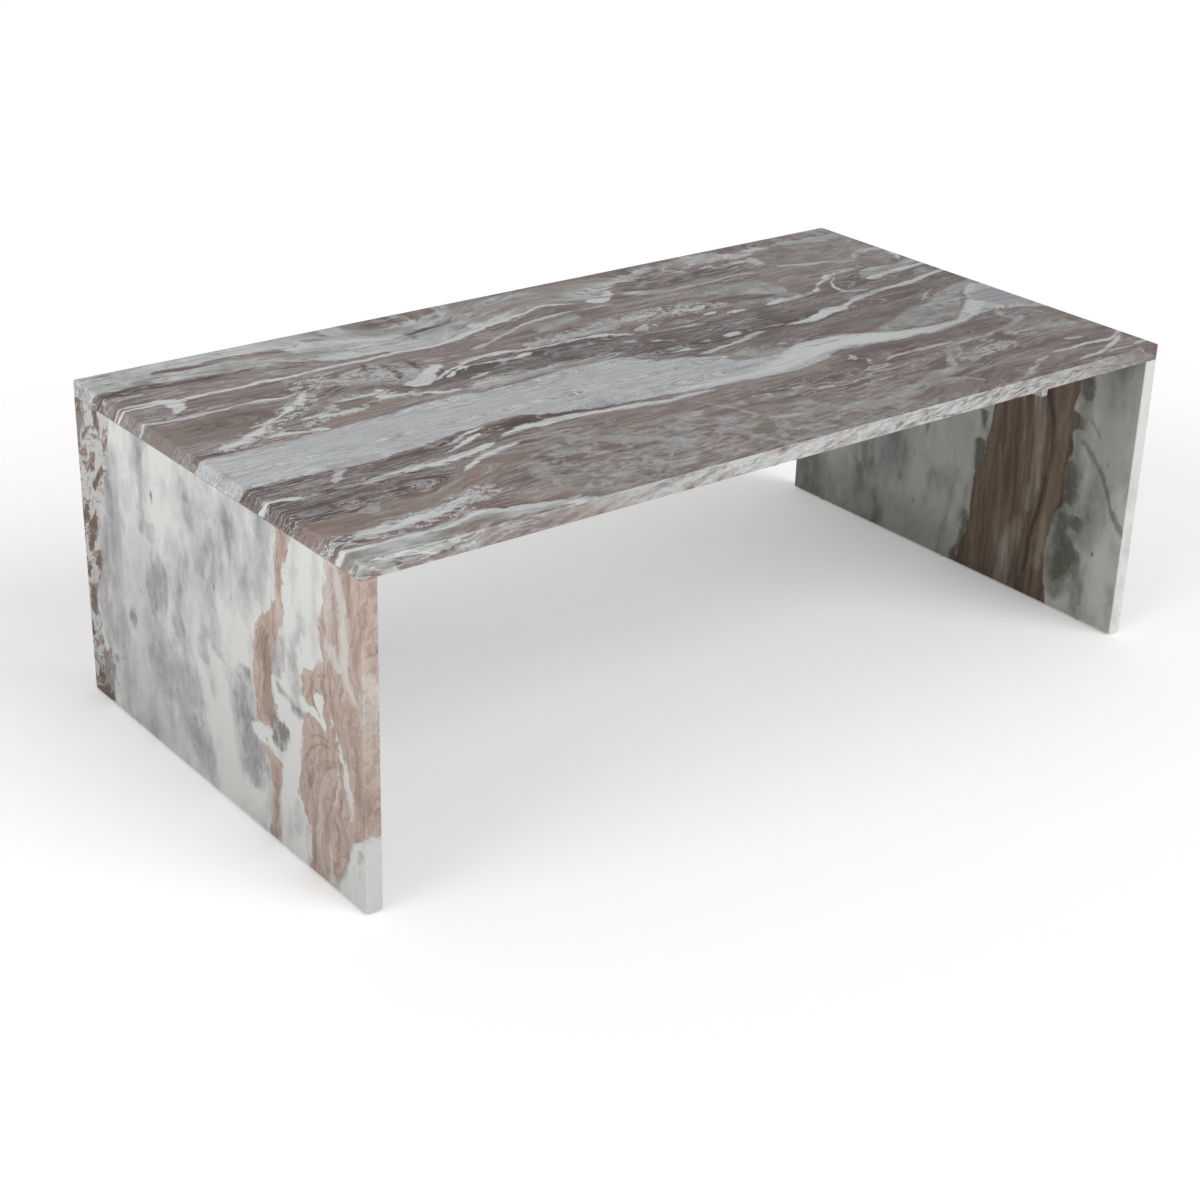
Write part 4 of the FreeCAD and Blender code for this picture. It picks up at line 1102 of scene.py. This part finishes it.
def panel_paints(tree, stone, c):
    """Paints of a panel's stone, and the pattern of its rims."""
    haze = soft_noise(tree, stone, (70, 55, 110), detail=6, roughness=0.6, contrast=0.46, seed=2.0)
    mottle = soft_noise(
        tree, stone, (12, 12, 18), detail=6, roughness=0.68, contrast=0.55, seed=6.0
    )
    drift = soft_noise(tree, stone, (15, 15, 26), detail=6, roughness=0.68, contrast=0.6, seed=9.1)
    # Straight grain of the brown band
    grain = soft_noise(tree, stone, (48, 8, 130), detail=6, roughness=0.64, contrast=0.5, seed=1.0)
    # Curled grain of the pink stone, with dark seams
    curled = wander(tree, stone, lengths=(80, 55, 75), reach=(0, 34, 24))
    flow = soft_noise(tree, curled, (48, 9, 70), detail=6, roughness=0.66, contrast=0.5, seed=1.0)
    seams = hair_lines(tree, curled, (50, 14, 80), width=0.05, strength=0.55, detail=5, seed=2.6)
    # Broken pieces of the brown along the back
    turned = add_node(
        tree, "ShaderNodeMapping",
        {"Vector": curled, "Rotation": (math.radians(BARK_TURN), 0, 0)},
    ).outputs[0]
    broken = soft_noise(tree, turned, (30, 46, 20), detail=6, roughness=0.7, contrast=0.5, seed=3.0)
    paints = {
        "ground": ramp_paint(tree, haze, (0.1, c.cloud), (0.35, c.pearl), (0.65, c.chalk)),
        "white": ramp_paint(tree, haze, (0.0, c.pearl), (0.3, c.chalk)),
        "snow": ramp_paint(tree, mottle, (0.0, c.pearl), (0.35, c.chalk), (0.9, c.frost)),
        "cloud": ramp_paint(tree, mottle, (0.0, c.moss), (0.4, c.cloud), (1.0, c.pearl)),
        "moss": ramp_paint(tree, mottle, (0.1, c.bark), (0.6, c.moss), (1.0, c.cloud)),
        "rose": ramp_paint(
            tree, flow, (0.08, c.clay), (0.24, c.clay_rose), (0.42, c.rose), (0.7, c.rose_pale),
            (0.95, c.chalk), overlays=((c.clay, seams),),
        ),
        "clay": ramp_paint(tree, flow, (0.0, c.bark), (0.4, c.clay), (1.0, c.rose)),
        "bark": ramp_paint(
            tree, broken, (0.32, c.bark), (0.44, c.clay), (0.5, c.pearl), (0.66, c.pearl),
            (0.76, c.clay_rose), (0.86, c.cloud),
        ),
        "coal": ramp_paint(tree, mottle, (0.1, c.bark), (0.5, c.bark), (1.0, c.clay)),
        "rust": ramp_paint(tree, grain, (0.1, c.bark), (0.34, c.rust), (0.78, c.clay)),
        "pale_rust": ramp_paint(
            tree, grain, (0.05, c.clay), (0.3, c.olive), (0.55, c.clay_rose), (0.85, c.pearl)
        ),
        "rust_line": ramp_paint(tree, mottle, (0.1, c.soot), (0.6, c.bark)),
    }
    return paints, drift


def panel_marble(side, colours):
    """White veined marble of a panel: grey clouds, specks, and brown bands that stand upright."""
    material, tree, place = start_material(f"veined_marble_honed_{side}_panel")
    low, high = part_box(f"{side}_panel")
    stone = wander(tree, place, lengths=(40, 40, 60), reach=(4, 7, 9))
    _, along, across = add_node(tree, "ShaderNodeSeparateXYZ", {0: stone}).outputs
    places = sheet_places(tree, along, across, PANEL_SHEET)
    paints, drift = panel_paints(tree, stone, colours)
    streaks = [
        streak._replace(soft=CLOUD_SOFT * streak.soft, fray=CLOUD_FRAY * streak.fray)
        if streak.paint in CLOUDS else streak
        for streak in PANEL_STREAKS[side]
    ]
    colour = draw_streaks(tree, places, PANEL_SHEET, drift, paints, "ground", streaks)
    # Painted shade darkens the stone towards the foot, and the right panel's stone gets a green-yellow
    # cast with painted shade all over; the right panel's cut front face is nearly white
    _, y, height = add_node(tree, "ShaderNodeSeparateXYZ", {0: place}).outputs
    ends = low.z / MM, high.z / MM
    colour = grade_tone_and_painted_shade(tree, colour, height, ends, (FOOT_PAINTED_SHADE, 1.0))
    # The right panel's cast: a green-yellow tint of its stone, and painted shade over the whole panel
    colour = add_node(
        tree, "ShaderNodeVectorMath", {0: colour, 1: PANEL_TINT_AND_SHADE[side]}, operation="MULTIPLY"
    ).outputs[0]
    pale = add_node(
        tree, "ShaderNodeMath", {0: front_face(tree, y, low), 1: FRONT_WHITE[side]},
        operation="MULTIPLY",
    ).outputs[0]
    colour = add_node(
        tree, "ShaderNodeMix", {0: pale, 6: colour, 7: paints["white"]}, data_type="RGBA"
    ).outputs[2]
    hone(tree, place, colour, (low, high), colours.chalk)
    return material


def finish_fitting(tree, colour, pattern, roughness, relief, **shader):
    """Shader whose roughness follows a pattern from its lowest to its highest value."""
    lowest, highest = roughness
    rough = add_node(tree, "ShaderNodeMapRange", {0: pattern, 3: lowest, 4: highest}).outputs[0]
    finish_surface(tree, colour, rough, relief, **shader)


def rib_marble(colours):
    """Offcut of the same stone, sawn and not polished: pale grey with faint saw marks."""
    material, tree, place = start_material("sawn_marble_rib")
    mottle = soft_noise(tree, place, (40, 60, 15), detail=5, roughness=0.6, contrast=0.5)
    marks = soft_noise(tree, place, (3, 160, 3), detail=2, roughness=0.5, contrast=0.6)
    colour = ramp_paint(
        tree, mottle, (0.1, colours.cloud), (0.5, colours.pearl), (0.9, colours.chalk)
    )
    finish_fitting(
        tree, colour, marks, roughness=(0.55, 0.75), relief=marks, strength=0.4, depth=0.1
    )
    return material


def glide_felt(fittings):
    """Pressed wool felt: matt brown-grey with short tangled fibres."""
    material, tree, place = start_material("pressed_wool_felt")
    fibres = hair_lines(tree, place, (1.6, 1.6, 1.6), width=0.2, strength=1.0)
    clumps = soft_noise(tree, place, (4, 4, 4), detail=3, roughness=0.6, contrast=0.5)
    colour = ramp_paint(
        tree, clumps, (0.1, fittings.felt_dark), (0.9, fittings.felt),
        overlays=((fittings.felt, fibres),),
    )
    finish_fitting(
        tree, colour, clumps, roughness=(0.85, 1.0), relief=fibres, strength=0.6, depth=0.15,
        Sheen_Weight=0.4,
    )
    return material


def joint_resin(fittings):
    """Stone-coloured resin, trimmed flush: pale, slightly waxy, with tiny bubbles."""
    material, tree, place = start_material("filled_resin_trimmed")
    filler = soft_noise(tree, place, (5, 5, 5), detail=4, roughness=0.6, contrast=0.5)
    bubbles = soft_noise(tree, place, (0.9, 0.9, 0.9), detail=1, roughness=0.5, contrast=0.4)
    colour = ramp_paint(tree, filler, (0.1, fittings.resin_dark), (0.9, fittings.resin))
    finish_fitting(
        tree, colour, filler, roughness=(0.4, 0.55), relief=bubbles, strength=0.3, depth=0.05
    )
    return material


def dowel_steel(fittings):
    """Drawn stainless rod: grey, with fine draw lines along it."""
    material, tree, place = start_material("drawn_stainless_steel")
    lines = soft_noise(tree, place, (0.4, 0.4, 30), detail=2, roughness=0.5, contrast=0.5)
    colour = ramp_paint(tree, lines, (0.1, fittings.steel_dark), (0.9, fittings.steel))
    finish_fitting(
        tree, colour, lines, roughness=(0.25, 0.4), relief=lines, strength=0.2, depth=0.02,
        Metallic=1.0,
    )
    return material


def deselect():
    """Leave nothing selected, so that an operator acts on the new piece alone."""
    bpy.ops.object.select_all(action="DESELECT")


def pick_piece(piece):
    """Select one piece alone and make it active."""
    deselect()
    piece.select_set(True)
    bpy.context.view_layer.objects.active = piece


def start_block(name, low, high):
    """Block from corner to corner, in edit mode."""
    deselect()
    bpy.ops.mesh.primitive_cube_add(size=1, location=(low + high) / 2, scale=high - low)
    piece = bpy.context.object
    piece.name = name
    piece.data.name = name
    bpy.ops.object.transform_apply(location=True, rotation=True, scale=True)
    bpy.ops.object.mode_set(mode="EDIT")
    bpy.ops.mesh.select_all(action="DESELECT")
    return piece


def ease_edges(piece, radius, steps, test):
    """Round the edges whose middle and direction pass the test."""
    bpy.ops.mesh.select_all(action="DESELECT")
    bpy.ops.mesh.select_mode(type="EDGE")
    mesh = bmesh.from_edit_mesh(piece.data)
    for edge in mesh.edges:
        a, b = (vertex.co for vertex in edge.verts)
        edge.select_set(test((a + b) / 2, (b - a).normalized()))
    bmesh.update_edit_mesh(piece.data)
    bpy.ops.mesh.bevel(offset=radius, segments=steps, profile=ROUND, affect="EDGES")


def finish_piece(piece, material, slot, *nodes):
    """Smooth the eased edges, dress the piece and seat it on the frame."""
    pick_piece(piece)
    bpy.ops.object.shade_smooth_by_angle(angle=math.radians(SMOOTH_ANGLE))
    weighted = piece.modifiers.new("even_faces", "WEIGHTED_NORMAL")
    weighted.keep_sharp = True
    bpy.ops.object.modifier_apply(modifier=weighted.name)
    piece.data.materials.clear()
    piece.data.materials.append(material)
    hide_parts(*nodes)
    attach(piece, BODY)


def cut_sockets(piece, dowels, clearance):
    """Cut a round socket for each dowel, a clearance larger all round."""
    for dowel in dowels:
        low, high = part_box(dowel)
        deselect()
        bpy.ops.mesh.primitive_cylinder_add(
            vertices=SOCKET_SIDES, radius=(high.x - low.x) / 2 + clearance,
            depth=high.z - low.z + 2 * clearance, location=(low + high) / 2,
        )
        cutter = bpy.context.object
        pick_piece(piece)
        cut = piece.modifiers.new("socket", "BOOLEAN")
        cut.operation = "DIFFERENCE"
        cut.object = cutter
        bpy.ops.object.modifier_apply(modifier=cut.name)
        bpy.data.objects.remove(cutter)


class TABLE_OT_top(bpy.types.Operator):
    """Model the top slab"""
    bl_idname = "marble_table.top"
    bl_label = "Top slab"

    def execute(self, context):
        sizes = context.scene.table_sizes
        steps = sizes.arris_steps
        low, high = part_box("top_slab")
        piece = start_block("marble_top", low, high)
        ease_edges(piece, sizes.corner_radius, steps, lambda mid, way: abs(way.z) > UPRIGHT_RISE)
        ease_edges(piece, sizes.arris_radius, steps, lambda mid, way: mid.z > high.z - CLOSE)
        ease_edges(piece, sizes.tight_arris_radius, steps, lambda mid, way: mid.z < low.z + CLOSE)
        bpy.ops.object.mode_set(mode="OBJECT")
        dowels = [f"{side}_{place}_dowel" for side in SIDES for place in PLACES]
        cut_sockets(piece, dowels, sizes.socket_clearance)
        finish_piece(piece, top_marble(context.scene.table_colours), "top_marble", "top_slab")
        return {"FINISHED"}


class TABLE_OT_panels(bpy.types.Operator):
    """Model the two side panels"""
    bl_idname = "marble_table.panels"
    bl_label = "Side panels"

    def execute(self, context):
        sizes = context.scene.table_sizes
        steps = sizes.arris_steps
        for side in SIDES:
            low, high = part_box(f"{side}_panel")
            piece = start_block(f"marble_{side}_panel", low, high)
            ease_edges(piece, sizes.arris_radius, steps, lambda mid, way: abs(way.z) > UPRIGHT_RISE)
            ease_edges(piece, sizes.tight_arris_radius, steps, lambda mid, way: mid.z > high.z - CLOSE)
            ease_edges(piece, sizes.foot_arris_radius, steps, lambda mid, way: mid.z < low.z + CLOSE)
            bpy.ops.object.mode_set(mode="OBJECT")
            dowels = [f"{side}_{place}_dowel" for place in PLACES]
            cut_sockets(piece, dowels, sizes.socket_clearance)
            material = panel_marble(side, context.scene.table_colours)
            finish_piece(piece, material, "panel_marble", f"{side}_panel")
        return {"FINISHED"}


class TABLE_OT_ribs(bpy.types.Operator):
    """Model the two stiffening ribs under the top"""
    bl_idname = "marble_table.ribs"
    bl_label = "Ribs"

    def execute(self, context):
        sizes = context.scene.table_sizes
        steps = sizes.arris_steps
        material = rib_marble(context.scene.table_colours)
        for side in SIDES:
            low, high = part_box(f"{side}_rib")
            piece = start_block(f"marble_{side}_rib", low, high)
            ease_edges(piece, sizes.foot_arris_radius, steps, lambda mid, way: mid.z < low.z + CLOSE)
            bpy.ops.object.mode_set(mode="OBJECT")
            finish_piece(piece, material, "rib_marble", f"{side}_rib")
        return {"FINISHED"}


class TABLE_OT_glides(bpy.types.Operator):
    """Model the felt glides under the panels"""
    bl_idname = "marble_table.glides"
    bl_label = "Felt glides"

    def execute(self, context):
        sizes = context.scene.table_sizes
        steps = sizes.arris_steps
        material = glide_felt(context.scene.table_fittings)
        for side in SIDES:
            for place in PLACES:
                node = f"{side}_{place}_glide"
                low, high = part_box(node)
                deselect()
                bpy.ops.mesh.primitive_cylinder_add(
                    vertices=GLIDE_SIDES, radius=(high.x - low.x) / 2, depth=high.z - low.z,
                    location=(low + high) / 2,
                )
                piece = context.object
                piece.name = f"felt_{side}_{place}"
                piece.data.name = piece.name
                bpy.ops.object.transform_apply(location=True, rotation=True, scale=True)
                bpy.ops.object.mode_set(mode="EDIT")
                ease_edges(
                    piece, sizes.glide_rim_radius, steps,
                    lambda mid, way: mid.z < low.z + CLOSE and abs(way.z) < LEVEL_RISE,
                )
                bpy.ops.object.mode_set(mode="OBJECT")
                finish_piece(piece, material, "glide_felt", node)
        return {"FINISHED"}


class TABLE_OT_fixings(bpy.types.Operator):
    """Dress the resin beds and the dowels"""
    bl_idname = "marble_table.fixings"
    bl_label = "Resin and dowels"

    def execute(self, context):
        resin = joint_resin(context.scene.table_fittings)
        steel = dowel_steel(context.scene.table_fittings)
        for side in SIDES:
            for bed in ("joint", "rib"):
                bpy.data.objects[f"{side}_{bed}_resin"].material_slots[0].material = resin
            for place in PLACES:
                bpy.data.objects[f"{side}_{place}_dowel"].material_slots[0].material = steel
        return {"FINISHED"}


class TABLE_OT_studio(bpy.types.Operator):
    """Set up the floor, the lights and the camera"""
    bl_idname = "marble_table.studio"
    bl_label = "Studio"

    def execute(self, context):
        studio = context.scene.table_studio
        context.scene.view_settings.view_transform = "Standard"
        self.lay_floor(studio)
        self.light_sky(context, studio)
        self.hang_light("left_light", studio.left_strength, studio.light_spread, LEFT_LIGHT_WAY)
        self.hang_light("front_light", studio.front_strength, studio.light_spread, FRONT_LIGHT_WAY)
        self.place_camera(context)
        return {"FINISHED"}

    def lay_floor(self, studio):
        """Wide matt floor that the camera sees nearly white."""
        deselect()
        bpy.ops.mesh.primitive_plane_add(size=FLOOR_SIZE, location=(0, 0, -FLOOR_DROP))
        floor = bpy.context.object
        floor.name = "studio_floor"
        material = bpy.data.materials.new("pale_matt_floor")
        material.use_nodes = True
        tree = material.node_tree
        tree.nodes.clear()
        matt = add_node(tree, "ShaderNodeBsdfDiffuse", {0: list(studio.floor_colour)}).outputs[0]
        seen = add_node(tree, "ShaderNodeLightPath").outputs["Is Camera Ray"]
        glow = add_node(
            tree, "ShaderNodeMath", {0: seen, 1: studio.floor_glow}, operation="MULTIPLY"
        ).outputs[0]
        white = add_node(tree, "ShaderNodeEmission", {1: glow}).outputs[0]
        both = add_node(tree, "ShaderNodeAddShader", {0: matt, 1: white}).outputs[0]
        add_node(tree, "ShaderNodeOutputMaterial", {0: both})
        floor.data.materials.append(material)

    def light_sky(self, context, studio):
        """White sky whose strength differs for the camera, for reflections and for the light."""
        world = bpy.data.worlds.new("studio_sky")
        world.use_nodes = True
        tree = world.node_tree
        tree.nodes.clear()
        light = add_node(tree, "ShaderNodeLightPath").outputs
        mirrored = add_node(
            tree, "ShaderNodeMapRange",
            {0: light["Is Glossy Ray"], 3: studio.sky_strength, 4: studio.reflected_strength},
        ).outputs[0]
        strength = add_node(
            tree, "ShaderNodeMath", {0: light["Is Camera Ray"], 1: mirrored}, operation="MAXIMUM"
        ).outputs[0]
        sky = add_node(tree, "ShaderNodeBackground", {0: WHITE, 1: strength}).outputs[0]
        add_node(tree, "ShaderNodeOutputWorld", {0: sky})
        context.scene.world = world

    def hang_light(self, name, strength, spread, way):
        """Wide soft light that shines on the table from the given way."""
        deselect()
        bpy.ops.object.light_add(type="SUN", location=way)
        light = bpy.context.object
        light.name = name
        light.data.energy = strength
        light.data.angle = spread
        light.rotation_mode = "QUATERNION"
        light.rotation_quaternion = (-Vector(way)).to_track_quat("-Z", "Y")

    def place_camera(self, context):
        """Camera that stands and looks as the photograph's did."""
        deselect()
        bpy.ops.object.camera_add(location=CAMERA_PLACE)
        camera = bpy.context.object
        camera.name = "photo_camera"
        camera.data.sensor_width = CAMERA_SENSOR
        camera.data.lens = CAMERA_LENS
        turn, rise = math.radians(CAMERA_AZIMUTH), math.radians(CAMERA_ELEVATION)
        look = Vector(
            (-math.sin(turn) * math.cos(rise), math.cos(turn) * math.cos(rise), -math.sin(rise))
        )
        roll = Matrix.Rotation(math.radians(CAMERA_ROLL), 3, "Z").to_quaternion()
        camera.rotation_mode = "QUATERNION"
        camera.rotation_quaternion = look.to_track_quat("-Z", "Y") @ roll
        context.scene.camera = camera


class TABLE_PT_sidebar(bpy.types.Panel):
    """Steps that build the table"""
    bl_idname = "TABLE_PT_sidebar"
    bl_label = "Marble table"
    bl_space_type = "VIEW_3D"
    bl_region_type = "UI"
    bl_category = "Table"

    def draw(self, context):
        for step in STEPS:
            self.layout.operator(step.bl_idname)


STEPS = (
    TABLE_OT_top, TABLE_OT_panels, TABLE_OT_ribs, TABLE_OT_glides, TABLE_OT_fixings, TABLE_OT_studio,
)
GROUPS = {
    "table_colours": TableStoneColours,
    "table_sizes": TableSlabSizes,
    "table_fittings": TableFittings,
    "table_studio": TableStudio,
}


def register():
    """Make the settings, the steps and the sidebar known to Blender."""
    for group in GROUPS.values():
        bpy.utils.register_class(group)
    for name, group in GROUPS.items():
        setattr(bpy.types.Scene, name, bpy.props.PointerProperty(type=group))
    for step in STEPS:
        bpy.utils.register_class(step)
    bpy.utils.register_class(TABLE_PT_sidebar)


def unregister():
    """Take the sidebar, the steps and the settings away again."""
    bpy.utils.unregister_class(TABLE_PT_sidebar)
    for step in reversed(STEPS):
        bpy.utils.unregister_class(step)
    for name, group in reversed(GROUPS.items()):
        delattr(bpy.types.Scene, name)
        bpy.utils.unregister_class(group)


def main():
    """Take every step."""
    register()
    for step in STEPS:
        group, name = step.bl_idname.split(".")
        getattr(getattr(bpy.ops, group), name)()


if __name__ == "__main__":
    main()
